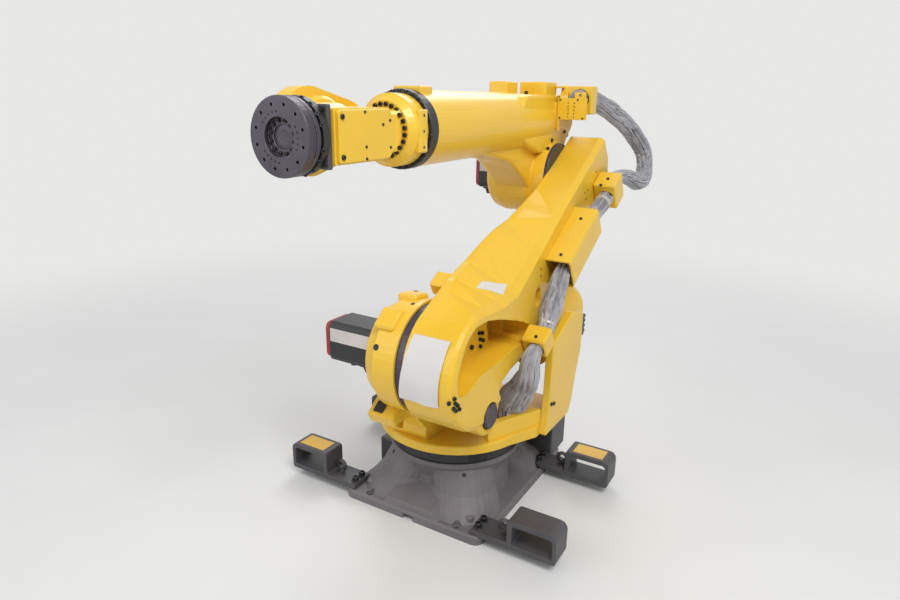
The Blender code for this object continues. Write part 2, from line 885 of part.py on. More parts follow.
def elbow_relief():
    """What is cut from the arm's inner side, sloping in to the elbow's reducer."""
    low = 0.250
    high = LOWER_ARM - 0.475
    ramp = loft(
        [
            [(-0.300, 0.0, low), (0.300, 0.0, low), (0.300, ARM_INNER, low), (-0.300, ARM_INNER, low)],
            [(-0.300, 0.0, high), (0.300, 0.0, high), (0.300, ARM_ELBOW_INNER, high), (-0.300, ARM_ELBOW_INNER, high)],
        ]
    )
    return [ramp, box((-0.300, 0.0, high), (0.300, ARM_ELBOW_INNER, LOWER_ARM + 0.325))]


def balancer_pin():
    """The pin that the balancer pulls on, with its round head."""
    return turned(
        [
            (0.136, PIN_RADIUS),
            (PIN_HEAD_Y + GAP, PIN_RADIUS),
            (PIN_HEAD_Y + GAP, 0.046),
            (ARM_OUTER + 0.002, 0.046),
            (ARM_OUTER + 0.005, 0.043),
        ],
        "Y",
        (PIN_T, PIN_S),
        32,
    )


def clamp(t, low, long, half_wide, outer):
    """A block on the arm's outer face that holds the sleeve in a bore."""
    block = box((t - half_wide, ARM_OUTER + GAP, low), (t + half_wide, outer, low + long), 0.006)
    bore = turned([(low - 0.010, SLEEVE + SEAT), (low + long + 0.010, SLEEVE + SEAT)], "Z", (t, CLAMP_Y), 24)
    return carved(block, bore)


def cable_guard():
    """The open channel that covers the sleeve half way up the arm."""
    foot = ARM_OUTER + GAP
    top = GUARD_OUTER
    outline = [
        (-0.112, foot),
        (-0.112, top - 0.006),
        (-0.100, top),
        (0.004, top),
        (0.016, top - 0.006),
        (0.016, foot),
        (0.010, foot),
        (0.010, top - 0.010),
        (0.000, top - 0.006),
        (-0.098, top - 0.006),
        (-0.106, top - 0.010),
        (-0.106, foot),
    ]
    return slab(outline, GUARD_LOW, GUARD_HIGH, "Z")


# The upper arm: x forward and z up from the elbow.


def upper_arm_casting():
    """Tube, swept web, elbow hub and top pads in one casting."""
    tube = turned(
        [
            (-0.196, 0.102),
            (-0.190, 0.110),
            (0.400, TUBE_RADIUS - 0.002),
            (0.850, TUBE_RADIUS),
            (TUBE_FRONT, TUBE_RADIUS + 0.001),
        ],
        "X",
        (0.0, ELBOW_RISE),
        56,
    )
    web = slab(
        rounded(
            [
                (-0.150, -0.020, 0.02),
                (0.012, -0.148, 0.02),
                (0.215, 0.006, 0.25),
                (0.330, 0.080, 0.20),
                (0.560, 0.125, 0.0),
                (0.560, 0.260, 0.0),
                (-0.150, 0.260, 0.0),
            ]
        ),
        -0.098,
        0.064,
    )
    soften(web, 0.020, -0.098)
    soften(web, 0.012, 0.064)
    shoulder = slab(
        rounded(
            [
                (0.365, 0.192, 0.04),
                (0.236, 0.133, 0.10),
                (0.125, 0.102, 0.06),
                (-0.130, 0.100, 0.03),
                (-0.186, 0.170, 0.04),
                (-0.186, 0.334, 0.06),
                (0.290, 0.334, 0.06),
            ]
        ),
        -0.100,
        0.100,
    )
    soften(shoulder, 0.012, 0.100)
    soften(shoulder, 0.016, -0.100)
    hub = turned(
        [
            (ELBOW_RIGHT, 0.140),
            (ELBOW_RIGHT + 0.012, 0.152),
            (-0.090, 0.163),
            (0.050, 0.163),
            (0.068, ELBOW_RING + 0.002),
            (ELBOW_LEFT, ELBOW_RING + 0.002),
        ],
        "Y",
    )
    front_pad = box((TUBE_FRONT - 0.072, -0.052, 0.290), (TUBE_FRONT - 0.003, 0.052, ELBOW_RISE + 0.130), 0.004)
    rear_pads = [
        box((0.160, -0.080, 0.270), (0.262, 0.000, 0.383), 0.005),
        box((-0.040, -0.030, 0.250), (0.080, 0.088, 0.385), 0.005),
    ]
    boss = box((-0.100, 0.040, 0.196), (BRACKET_X - GAP, BRACKET_Y - GAP, 0.306), 0.004)
    return fused(web, tube, shoulder, hub, front_pad, *rear_pads, boss)


def elbow_ring():
    """The dark reducer ring between the upper arm and the lower arm."""
    return turned(
        [
            (ELBOW_LEFT + GAP, ELBOW_RING),
            (ARM_ELBOW_INNER - GAP - 0.003, ELBOW_RING),
            (ARM_ELBOW_INNER - GAP, ELBOW_RING - 0.003),
        ],
        "Y",
    )


def rear_bracket():
    """The perforated plate and sleeve clamp on the elbow's left side."""
    face = BRACKET_X + BRACKET_THICK
    foot = box((-0.094, BRACKET_Y, BRACKET_LOW + 0.004), (face, BRACKET_Y + BRACKET_THICK, 0.300))
    plate = box((BRACKET_X, BRACKET_Y, BRACKET_LOW), (face, 0.246, 0.322))
    tail = box((BRACKET_X, BRACKET_Y + 0.001, 0.190), (face, ARM_ELBOW_INNER - 0.008, BRACKET_LOW + 0.010))
    lug = box((BRACKET_X, 0.192, 0.310), (face, 0.240, 0.346))
    block = box((-0.094, BRACKET_Y + 0.001, LOOP_Z - 0.060), (-0.030, LOOP_Y + 0.054, LOOP_Z + 0.052), 0.004)
    joined = fused(foot, plate, tail, lug, block)
    bore = turned([(-0.120, LOOP_SLEEVE + SEAT), (0.001, LOOP_SLEEVE + SEAT)], "X", (LOOP_Y, LOOP_Z), 24)
    eye = turned([(0.0, 0.006), (0.040, 0.006)], "X", (0.216, 0.334), 12)
    holes = [
        turned([(0.0, 0.0035), (0.040, 0.0035)], "X", (0.166 + 0.026 * column, 0.246 + 0.014 * row), 8)
        for column in range(2)
        for row in range(5)
    ]
    return carved(joined, bore, eye, *holes)


def roll_ring():
    """The dark ring at the front of the tube."""
    return turned(
        [
            (TUBE_FRONT + GAP, RING_OUTER),
            (ROLL_FACE - GAP - 0.003, RING_OUTER),
            (ROLL_FACE - GAP, RING_OUTER - 0.003),
        ],
        "X",
        (0.0, ELBOW_RISE),
    )


def wrist_motor(y, z):
    """One of the three motors on the back of the upper arm."""
    half = 0.038
    return slab(square(y, z, half, 0.010), -0.330, -0.196 - GAP, "X")


# The wrist, from the fourth axis to the flange.


def wrist_fork():
    """The rolling part: a stepped disc and one cheek that carries the bend axis."""
    bend = FOREARM - ROLL_FACE
    disc = turned([(0.0, 0.107), (0.002, 0.109), (0.055, 0.109), (0.058, 0.104), (0.078, 0.088)], "X")
    arm = slab(
        rounded(
            [
                (0.020, -0.080, 0.0),
                (0.020, 0.080, 0.0),
                (0.070, 0.074, 0.02),
                (0.108, 0.030, 0.03),
                (0.128, BEND_INNER - 0.006, 0.01),
                (0.205, BEND_INNER - 0.002, 0.0),
                (0.205, BEND_OUTER + 0.002, 0.0),
                (0.130, BEND_OUTER + 0.002, 0.03),
                (0.052, -0.108, 0.03),
            ]
        ),
        -FORK_HALF,
        FORK_HALF,
        "Z",
    )
    soften(arm, 0.014, FORK_HALF, "Z")
    soften(arm, 0.014, -FORK_HALF, "Z")
    cheek = slab(belt([(bend, 0.0, CHEEK_RADIUS), (0.118, 0.0, 0.086)], 44), BEND_OUTER, BEND_INNER)
    soften(cheek, 0.010, BEND_OUTER)
    cap = turned([(BEND_OUTER - 0.010, 0.084), (BEND_OUTER - 0.007, 0.088), (BEND_OUTER + 0.004, 0.088)], "Y",
                 (bend, 0.0), 36)
    pad = box((0.006, 0.060, -0.0625), (0.050, 0.1105, 0.0625), 0.004)
    return fused(disc, arm, cheek, cap, pad)


def wrist_housing():
    """The bending part: an eight-sided housing with its hub."""
    outline = rounded(
        [
            (-0.111, -0.042, 0.008),
            (-0.086, -0.070, 0.008),
            (HOUSING_FRONT, -0.070, 0.004),
            (HOUSING_FRONT, 0.070, 0.004),
            (-0.086, 0.070, 0.008),
            (-0.111, 0.042, 0.008),
        ],
        2,
    )
    body = slab(outline, -0.080, HOUSING_LEFT)
    hub = turned([(BEND_INNER + GAP, 0.098), (-0.060, 0.098), (-0.052, 0.090)], "Y")
    nose = turned([(0.020, 0.082), (HOUSING_FRONT, 0.082)], "X", sides=40)
    return fused(body, hub, nose)


def cover_plate():
    """The flat cover on the left of the housing."""
    outline = rounded(
        [
            (-0.106, -0.038, 0.012),
            (-0.080, -0.067, 0.012),
            (HOUSING_FRONT - 0.006, -0.067, 0.010),
            (HOUSING_FRONT - 0.006, 0.067, 0.010),
            (-0.080, 0.067, 0.012),
            (-0.106, 0.038, 0.012),
        ],
        3,
    )
    return soften(slab(outline, HOUSING_LEFT + GAP, HOUSING_LEFT + 0.012), 0.003, HOUSING_LEFT + 0.012, "Y", 1)


def end_plate():
    """The dark rectangular plate in front of the housing."""
    return box((HOUSING_FRONT + GAP, -0.092, -0.080), (HOUSING_FRONT + 0.016, 0.092, 0.080), 0.003)


def flange_ring():
    """The dark reducer ring behind the tool flange."""
    start = HOUSING_FRONT + 0.016
    return turned(
        [
            (start + GAP, FLANGE_RADIUS),
            (start + 0.024, FLANGE_RADIUS),
            (start + 0.026, 0.078),
            (FLANGE_FACE - 0.042, 0.078),
        ],
        "X",
    )


def adapter_disc():
    """The rear disc of the flange with its thin bright ring."""
    return turned(
        [
            (FLANGE_FACE - 0.042 + GAP, FLANGE_RADIUS - 0.002),
            (FLANGE_FACE - 0.040, FLANGE_RADIUS),
            (FLANGE_FACE - 0.028, FLANGE_RADIUS),
            (FLANGE_FACE - 0.028, FLANGE_RADIUS - 0.004),
            (FLANGE_FACE - 0.025, FLANGE_RADIUS - 0.004),
        ],
        "X",
    )


def tool_flange():
    """The tool face: a stepped round recess and a ring of bolt holes."""
    disc = turned(
        [
            (FLANGE_FACE - 0.025 + GAP, FLANGE_RADIUS),
            (FLANGE_FACE - 0.002, FLANGE_RADIUS),
            (FLANGE_FACE, FLANGE_RADIUS - 0.002),
        ],
        "X",
    )
    recess = turned([(FLANGE_FACE - 0.014, 0.050), (FLANGE_FACE + 0.010, 0.050)], "X", sides=36)
    step = turned([(FLANGE_FACE - 0.019, 0.032), (FLANGE_FACE, 0.032)], "X", sides=28)
    holes = []
    for k in range(12):
        turn = 2.0 * math.pi * (k + 0.5) / 12
        centre = (0.080 * math.cos(turn), 0.080 * math.sin(turn))
        holes.append(turned([(FLANGE_FACE - 0.012, 0.005), (FLANGE_FACE + 0.010, 0.005)], "X", centre, 10))
    return carved(disc, recess, step, *holes)


# Routes of the sleeve.


def turret_sleeve():
    """From the turret's floor up to the lower clamp, in the turret's frame."""
    end = arm_point(CLAMP_T, CLAMP_Y, CLAMP_LOW - GAP)
    along = arm_point(CLAMP_T, CLAMP_Y, CLAMP_LOW - 0.030)
    return [
        (-0.010, 0.235, FLOOR_Z + GAP),
        (-0.010, 0.235, FLOOR_Z + 0.050),
        (-0.006, 0.242, 0.410),
        (0.024, 0.296, 0.490),
        (0.062, 0.336, 0.570),
        (0.068, 0.343, 0.620),
        along,
        end,
    ]


def arm_point(t, y, s):
    """A point of the lower arm's frame, in the turret's."""
    lean = Matrix.Rotation(LEAN, 3, "Y")
    return tuple(Vector((SHOULDER_X, 0.0, SHOULDER_Z)) + lean @ Vector((t, y, s)))


def arm_sleeve():
    """Through both clamps and the guard, in the arm's frame."""
    middle_t = -0.048
    return [
        (CLAMP_T, CLAMP_Y, CLAMP_LOW),
        (CLAMP_T, CLAMP_Y, CLAMP_LOW + CLAMP_LONG + 0.010),
        (middle_t - 0.040, CLAMP_Y, GUARD_LOW - 0.070),
        (middle_t, CLAMP_Y, GUARD_LOW + 0.020),
        (middle_t, CLAMP_Y, GUARD_LOW + 0.160),
        (middle_t, CLAMP_Y, GUARD_HIGH),
        (TOP_CLAMP_T, CLAMP_Y, TOP_CLAMP_LOW - 0.020),
        (TOP_CLAMP_T, CLAMP_Y, TOP_CLAMP_LOW + TOP_CLAMP_LONG),
    ]


def loop_sleeve():
    """The loop from the top clamp round to the upper arm's bracket, in the elbow's frame."""
    elbow = Vector(arm_point(0.0, 0.0, LOWER_ARM))
    start = Vector(arm_point(TOP_CLAMP_T, CLAMP_Y, TOP_CLAMP_LOW + TOP_CLAMP_LONG + GAP)) - elbow
    along = Vector(arm_point(TOP_CLAMP_T, CLAMP_Y, TOP_CLAMP_LOW + TOP_CLAMP_LONG + 0.040)) - elbow
    return [
        tuple(start),
        tuple(along),
        (-0.310, 0.350, -0.020),
        (-0.480, 0.350, -0.060),
        (-0.640, 0.335, -0.040),
        (-0.690, 0.305, 0.070),
        (-0.540, 0.264, 0.190),
        (-0.345, 0.230, 0.268),
        (-0.205, 0.206, 0.308),
        (-0.118, LOOP_Y, LOOP_Z),
        (-0.002, LOOP_Y, LOOP_Z),
    ]


# Assembly.


def build():
    """Make every piece on its own carrier."""
    clear_scene()
    foot = joint_empty("base_frame", None, (0.0, 0.0, 0.0))
    turret = joint_empty("axis_1", foot, (0.0, 0.0, 0.0))
    shoulder = joint_empty("axis_2", turret, (SHOULDER_X, 0.0, SHOULDER_Z), LEAN)
    elbow = joint_empty("axis_3", shoulder, (0.0, 0.0, LOWER_ARM), -LEAN)
    roll = joint_empty("axis_4", elbow, (ROLL_FACE, 0.0, ELBOW_RISE))
    bend = joint_empty("axis_5", roll, (FOREARM - ROLL_FACE, 0.0, 0.0))
    spin = joint_empty("axis_6", bend, (0.0, 0.0, 0.0))

    pin = Vector(arm_point(PIN_T, BALANCER_Y, PIN_S))
    pull = pin - Vector((TRUNNION_X, BALANCER_Y, TRUNNION_Z))
    tilt = math.atan2(-pull.z, pull.x)
    swing = joint_empty("balancer_axis", turret, (TRUNNION_X, BALANCER_Y, TRUNNION_Z), tilt)
    rod_swing = joint_empty("rod_axis", shoulder, (PIN_T, BALANCER_Y, PIN_S), tilt - LEAN)

    piece("base_casting", base_casting(), "base_grey", foot)
    piece("bearing_ring", bearing_ring(), "black", foot)
    piece("connector_box", connector_box(), "dark_grey", foot)
    piece("cable_cover", cable_cover(), "dark_grey", foot)
    piece("fork_bracket_front_left", fork_bracket(POCKET_FRONT_X, 1.0), "dark_grey", foot)
    piece("fork_bracket_front_right", fork_bracket(POCKET_FRONT_X, -1.0), "dark_grey", foot)
    piece("fork_bracket_rear_left", fork_bracket(POCKET_REAR_X, 1.0), "dark_grey", foot)
    piece("fork_bracket_rear_right", fork_bracket(POCKET_REAR_X, -1.0), "dark_grey", foot)

    piece("turret_casting", turret_casting(), "paint", turret)
    piece("side_wall", side_wall(), "paint", turret)
    piece("wall_connectors", wall_connectors(), "black", turret)
    piece("turning_motor", first_motor(), "black", turret)
    axle = (SHOULDER_X, SHOULDER_Z)
    piece("shoulder_ring", turned([(SHOULDER_LEFT, 0.192), (ARM_INNER, 0.192)], "Y", axle), "gunmetal", turret)
    motor_end = SHOULDER_RIGHT - GAP - MOTOR_LONG
    piece("shoulder_motor", side_motor(MOTOR_LONG, 0.075, SHOULDER_RIGHT - GAP, axle), "black", turret)
    piece("shoulder_motor_cap", side_motor(0.022, 0.068, motor_end - GAP, axle), "red", turret)
    piece("stop_pad", stop_pad(), "rubber", turret)
    hose("harness_turret", turret_sleeve(), LOOSE_SLEEVE, turret)

    piece("balancer_cylinder", balancer_cylinder(), "paint", swing)
    piece("balancer_rod", balancer_rod(), "steel", rod_swing)

    piece("lower_arm_casting", lower_arm_casting(), "paint", shoulder)
    piece("balancer_pin", balancer_pin(), "gunmetal", shoulder)
    piece("lower_clamp", clamp(CLAMP_T, CLAMP_LOW, CLAMP_LONG, 0.041, CLAMP_Y + 0.039), "paint", shoulder)
    piece("cable_guard", cable_guard(), "paint", shoulder)
    high_clamp = clamp(TOP_CLAMP_T, TOP_CLAMP_LOW, TOP_CLAMP_LONG, 0.060, CLAMP_Y + 0.043)
    piece("top_clamp", high_clamp, "paint", shoulder)
    hose("harness_arm", arm_sleeve(), SLEEVE, shoulder)

    piece("upper_arm_casting", upper_arm_casting(), "paint", elbow)
    piece("elbow_ring", elbow_ring(), "gunmetal", elbow)
    motor_end = ELBOW_RIGHT - GAP - ELBOW_MOTOR_LONG
    piece("elbow_motor", side_motor(ELBOW_MOTOR_LONG, 0.070, ELBOW_RIGHT - GAP, (0.0, 0.0)), "black", elbow)
    piece("elbow_motor_cap", side_motor(0.016, 0.065, motor_end - GAP, (0.0, 0.0)), "red", elbow)
    piece("rear_bracket", rear_bracket(), "paint", elbow)
    piece("roll_ring", roll_ring(), "black", elbow)
    piece("wrist_motor_left", wrist_motor(0.044, 0.266), "black", elbow)
    piece("wrist_motor_right", wrist_motor(-0.044, 0.266), "black", elbow)
    piece("wrist_motor_lower", wrist_motor(0.0, 0.182), "black", elbow)
    hose("harness_loop", loop_sleeve(), LOOP_SLEEVE, elbow)

    piece("wrist_fork", wrist_fork(), "paint", roll)
    piece("wrist_housing", wrist_housing(), "paint", bend)
    piece("cover_plate", cover_plate(), "paint", bend)
    piece("end_plate", end_plate(), "dark_grey", bend)
    piece("flange_ring", flange_ring(), "black", bend)
    piece("adapter_disc", adapter_disc(), "gunmetal", spin)
    piece("tool_flange", tool_flange(), "gunmetal", spin)


build()
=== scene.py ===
"""Studio scene of a six-axis industrial robot arm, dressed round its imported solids.

Metres, +Z up, +X forward, +Y to the robot's left. Each sub-assembly is a class that dresses the
solids of one region and adds the pieces that are too small or too soft for them.
"""
import json
import logging
import math
from dataclasses import dataclass, field
from enum import Enum
from typing import Any, Iterable, Mapping, Sequence, Union

import bmesh
import bpy
from mathutils import Matrix, Vector, noise
from mathutils.bvhtree import BVHTree

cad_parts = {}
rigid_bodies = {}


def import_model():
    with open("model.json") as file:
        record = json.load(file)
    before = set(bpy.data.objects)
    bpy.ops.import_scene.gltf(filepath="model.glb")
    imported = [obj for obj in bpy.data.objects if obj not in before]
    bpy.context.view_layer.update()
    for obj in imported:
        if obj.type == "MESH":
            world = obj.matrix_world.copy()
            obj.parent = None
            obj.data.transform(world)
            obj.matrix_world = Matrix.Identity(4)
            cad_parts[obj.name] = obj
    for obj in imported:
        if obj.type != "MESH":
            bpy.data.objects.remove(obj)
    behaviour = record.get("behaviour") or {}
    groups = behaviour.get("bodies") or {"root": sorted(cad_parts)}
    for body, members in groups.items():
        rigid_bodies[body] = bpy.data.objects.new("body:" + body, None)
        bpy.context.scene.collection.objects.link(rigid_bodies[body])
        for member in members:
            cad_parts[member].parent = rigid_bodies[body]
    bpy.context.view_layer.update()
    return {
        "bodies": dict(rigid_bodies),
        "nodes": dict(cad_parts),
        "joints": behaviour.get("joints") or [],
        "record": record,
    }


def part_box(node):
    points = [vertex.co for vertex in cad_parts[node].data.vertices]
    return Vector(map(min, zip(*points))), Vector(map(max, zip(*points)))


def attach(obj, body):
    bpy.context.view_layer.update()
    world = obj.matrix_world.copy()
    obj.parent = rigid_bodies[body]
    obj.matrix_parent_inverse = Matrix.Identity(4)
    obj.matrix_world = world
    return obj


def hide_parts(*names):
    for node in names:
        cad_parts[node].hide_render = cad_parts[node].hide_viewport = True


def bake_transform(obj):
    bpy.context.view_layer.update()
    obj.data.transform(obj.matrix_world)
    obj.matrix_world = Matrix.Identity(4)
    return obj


Colour = tuple[float, float, float]
Point = Sequence[float]
Value = Union["Socket", float]

LOG = logging.getLogger("robot_arm")

X_AXIS = Vector((1.0, 0.0, 0.0))
Y_AXIS = Vector((0.0, 1.0, 0.0))
Z_AXIS = Vector((0.0, 0.0, 1.0))

# The frames of the moving parts at rest, from their axes.
WORLD = Matrix.Identity(4)
ARM = Matrix.Translation((0.312, 0.0, 0.670)) @ Matrix.Rotation(math.radians(-60.0), 4, "Y")
ELBOW = Matrix.Translation((-0.618977, 0.0, 1.2075))
ROLL = Matrix.Translation((0.381023, 0.0, 1.4325))
BEND = Matrix.Translation((0.661023, 0.0, 1.4325))
TRUNNION = Vector((-0.300, 0.200, 0.5975))


class Body(Enum):
    """The moving bodies of the machine."""

    BASE = "base"
    TURRET = "turret"
    BALANCER = "balancer"
    LOWER_ARM = "lower_arm"
    UPPER_ARM = "upper_arm"
    ROLL = "wrist_roll"
    BEND = "wrist_bend"
    FLANGE = "flange"


class Socket:
    """An output of a shader graph that can be used in sums."""

    def __init__(self, graph: "Graph", output: bpy.types.NodeSocket) -> None:
        """Keep the output and the graph that it belongs to."""
        self.graph = graph
        self.output = output

    def __add__(self, other: Value) -> "Socket":
        """The sum of both."""
        return self.graph.maths("ADD", self, other)

    def __radd__(self, other: Value) -> "Socket":
        """The sum, with the number first."""
        return self.graph.maths("ADD", other, self)

    def __sub__(self, other: Value) -> "Socket":
        """This less the other."""
        return self.graph.maths("SUBTRACT", self, other)

    def __rsub__(self, other: Value) -> "Socket":
        """The number less this."""
        return self.graph.maths("SUBTRACT", other, self)

    def __mul__(self, other: Value) -> "Socket":
        """The product of both."""
        return self.graph.maths("MULTIPLY", self, other)

    def __rmul__(self, other: Value) -> "Socket":
        """The product, with the number first."""
        return self.graph.maths("MULTIPLY", other, self)


class Graph:
    """The node graph of one material."""

    def __init__(self, name: str) -> None:
        """Start a material with its Principled shader."""
        self.material = bpy.data.materials.new(name)
        self.material.use_nodes = True
        self.tree = self.material.node_tree
        self.shader = self.tree.nodes["Principled BSDF"]

    def node(
        self,
        kind: str,
        settings: Mapping[str, Any] | None = None,
        inputs: Mapping[str | int, Any] | None = None,
    ) -> bpy.types.Node:
        """Add a node, set it up, then fill its sockets."""
        made = self.tree.nodes.new(kind)
        for key, setting in (settings or {}).items():
            setattr(made, key, setting)
        for key, given in (inputs or {}).items():
            self.feed(made.inputs[key], given)
        return made

    def feed(self, target: bpy.types.NodeSocket, given: Any) -> None:
        """Link a socket or set its value."""
        if isinstance(given, Socket):
            self.tree.links.new(given.output, target)
        elif target.type == "RGBA" and len(given) == 3:
            target.default_value = (*given, 1.0)
        else:
            target.default_value = given

    def maths(self, operation: str, first: Value, second: Value = 0.0) -> Socket:
        """One step of arithmetic."""
        made = self.node("ShaderNodeMath", {"operation": operation}, {0: first, 1: second})
        return Socket(self, made.outputs[0])

    def skin(self, colour: Value | Colour, roughness: Value) -> None:
        """Feed the shader's colour and roughness."""
        self.feed(self.shader.inputs["Base Color"], colour)
        self.feed(self.shader.inputs["Roughness"], roughness)

    def place(self, scale: Point = (1.0, 1.0, 1.0), turn: Point = (0.0, 0.0, 0.0)) -> Socket:
        """Coordinates fixed to the piece, in metres, stretched and turned."""
        source = Socket(self, self.node("ShaderNodeTexCoord").outputs["Object"])
        made = self.node("ShaderNodeMapping", None, {"Vector": source, "Scale": scale, "Rotation": turn})
        return Socket(self, made.outputs[0])

    def clouds(
        self, scale: float, detail: float = 3.0, rough: float = 0.5, at: Socket | None = None
    ) -> Socket:
        """Soft noise from 0 to 1."""
        inputs = {"Vector": at or self.place(), "Scale": scale, "Detail": detail, "Roughness": rough}
        made = self.node("ShaderNodeTexNoise", {"noise_dimensions": "3D"}, inputs)
        return Socket(self, made.outputs["Fac"])

    def ramp(self, value: Socket, low: float, high: float) -> Socket:
        """A smooth step."""
        made = self.node(
            "ShaderNodeMapRange",
            {"interpolation_type": "SMOOTHSTEP"},
            {"Value": value, "From Min": low, "From Max": high},
        )
        return Socket(self, made.outputs[0])

    def blend(self, share: Value, first: Any, second: Any) -> Socket:
        """Mix two colours."""
        made = self.node("ShaderNodeMix", {"data_type": "RGBA", "clamp_factor": True})
        self.feed(made.inputs["Factor"], share)
        colours = [socket for socket in made.inputs if socket.type == "RGBA"]
        self.feed(colours[0], first)
        self.feed(colours[1], second)
        return Socket(self, [socket for socket in made.outputs if socket.type == "RGBA"][0])

    def edges(self, radius: float) -> tuple[Socket, Socket]:
        """Find the edges of a solid."""
        rolled = Socket(self, self.node("ShaderNodeBevel", {"samples": 4}, {"Radius": radius}).outputs[0])
        flat = Socket(self, self.node("ShaderNodeNewGeometry").outputs["Normal"])
        dot = self.node("ShaderNodeVectorMath", {"operation": "DOT_PRODUCT"}, {0: rolled, 1: flat})
        return rolled, 1.0 - Socket(self, dot.outputs["Value"])

    def relief(self, height: Socket, strength: float, depth: float, base: Socket | None = None) -> None:
        """Roughen the surface with a height."""
        made = self.node("ShaderNodeBump", None, {"Strength": strength, "Distance": depth, "Height": height})
        if base is not None:
            self.feed(made.inputs["Normal"], base)
        self.feed(self.shader.inputs["Normal"], Socket(self, made.outputs[0]))


@dataclass(frozen=True)
class Finish:
    """A surface with one colour that varies a little."""

    name: str
    slot: str
    colour: Colour
    roughness: float = 0.5
    metallic: float = 0.0
    coat: float = 0.0
    mottle: float = 0.08
    grain: float = 300.0
    depth: float = 0.0002
    edge: float = 0.0
    edge_colour: Colour = (0.3, 0.3, 0.3)

    def material(self) -> bpy.types.Material:
        """The finish as a material, made on first use.

        Returns:
            The material.
        """
        known = bpy.data.materials.get(self.name)
        if known is not None:
            return known
        graph = Graph(self.name)
        graph.skin(self.colour, self.roughness)
        graph.feed(graph.shader.inputs["Metallic"], self.metallic)
        graph.feed(graph.shader.inputs["Coat Weight"], self.coat)
        graph.material.diffuse_color = (*self.colour, 1.0)
        self.weather(graph)
        return graph.material

    def shades(self, graph: Graph, patches: Socket) -> Socket:
        """The colour with its light and dark patches."""
        darker = tuple(c * (1.0 - 2.0 * self.mottle) for c in self.colour)
        lighter = tuple(min(1.0, c * (1.0 + self.mottle)) for c in self.colour)
        return graph.blend(graph.ramp(patches, 0.3, 0.7), darker, lighter)

    def weather(self, graph: Graph) -> None:
        """Vary the colour and gloss, and give the surface its grain.

        Args:
            graph: the material's graph.
        """
        patches = graph.clouds(6.0, 4.0, 0.6)
        colour = self.shades(graph, patches)
        normal = None
        if self.edge > 0.0:
            normal, rim = graph.edges(self.edge)
            chips = graph.ramp(rim + (graph.clouds(55.0, 4.0, 0.7) - 0.5) * 0.35, 0.10, 0.30)
            colour = graph.blend(chips * 0.5, colour, self.edge_colour)
        graph.skin(colour, self.roughness + (patches - 0.5) * 0.25)
        graph.relief(graph.clouds(self.grain, 3.0), 0.35, self.depth, normal)

    def dress(self, *solids: bpy.types.Object) -> None:
        """Give the finish to objects."""
        for solid in solids:
            if not solid.material_slots:
                solid.data.materials.append(self.material())
            for slot in solid.material_slots:
                slot.material = self.material()


@dataclass(frozen=True)
class Enamel(Finish):
    """Thick machine paint over a casting: softened edges with a painted highlight along them, orange peel,
    dust and a few scuffs.
    """

    dust: Colour = (0.50, 0.36, 0.10)

    def weather(self, graph: Graph) -> None:
        """Paint laid on a sand casting.

        Args:
            graph: the material's graph.
        """
        patches = graph.clouds(3.0, 4.0, 0.6)
        normal, rim = graph.edges(self.edge)
        streaks = graph.clouds(9.0, 6.0, 0.75, graph.place((1.0, 1.0, 0.35)))
        dusty = graph.ramp(streaks, 0.56, 0.74)
        scratches = graph.clouds(60.0, 2.0, 0.5, graph.place((0.12, 1.0, 1.0), (0.4, 0.3, 0.6)))
        scuffed = graph.ramp(scratches, 0.74, 0.78)
        colour = graph.blend(dusty * 0.10, self.shades(graph, patches), self.dust)
        # Every edge is blended alike towards edge_colour, a lighter yellow: painted highlight on the rims.
        colour = graph.blend(graph.ramp(rim, 0.02, 0.20) * 0.22, colour, self.edge_colour)
        colour = graph.blend(scuffed * 0.12, colour, self.edge_colour)
        graph.skin(colour, self.roughness + dusty * 0.14 + (patches - 0.5) * 0.12)
        skin = graph.clouds(self.grain, 2.0, 0.4) * 0.25 + graph.clouds(24.0, 2.0, 0.5)
        graph.relief(skin, 0.30, self.depth, normal)


@dataclass(frozen=True)
class Casting(Finish):
    """Painted cast iron: a coarse skin with worn, lighter edges and settled dust."""

    def weather(self, graph: Graph) -> None:
        """Paint that shows the sand of the mould.

        Args:
            graph: the material's graph.
        """
        patches = graph.clouds(4.0, 5.0, 0.65)
        normal, rim = graph.edges(self.edge)
        pits = graph.clouds(self.grain, 4.0, 0.6)
        worn = graph.ramp(rim + (graph.clouds(40.0, 4.0, 0.7) - 0.5) * 0.3, 0.06, 0.28)
        colour = graph.blend(worn * 0.45, self.shades(graph, patches), self.edge_colour)
        graph.skin(graph.blend(pits * 0.12, colour, self.edge_colour), self.roughness + (pits - 0.5) * 0.3)
        graph.relief(pits + graph.clouds(30.0, 2.0), 0.45, self.depth, normal)


@dataclass(frozen=True)
class Turned(Finish):
    """Machined steel: fine tool marks, soft smears of oil and lighter rims that paint a glint on its edges.
    """

    def weather(self, graph: Graph) -> None:
        """Tool marks, smears and a painted glint along the edges."""
        smears = graph.clouds(14.0, 4.0, 0.6)
        marks = graph.clouds(self.grain, 2.0, 0.5, graph.place((1.0, 0.15, 0.15)))
        normal, rim = graph.edges(self.edge)
        # Every edge is blended alike towards edge_colour: a painted glint on the rims.
        colour = graph.blend(graph.ramp(rim, 0.04, 0.22) * 0.6, self.shades(graph, smears), self.edge_colour)
        graph.skin(colour, self.roughness + (smears - 0.5) * 0.3 + (marks - 0.5) * 0.15)
        graph.relief(marks, 0.2, self.depth, normal)


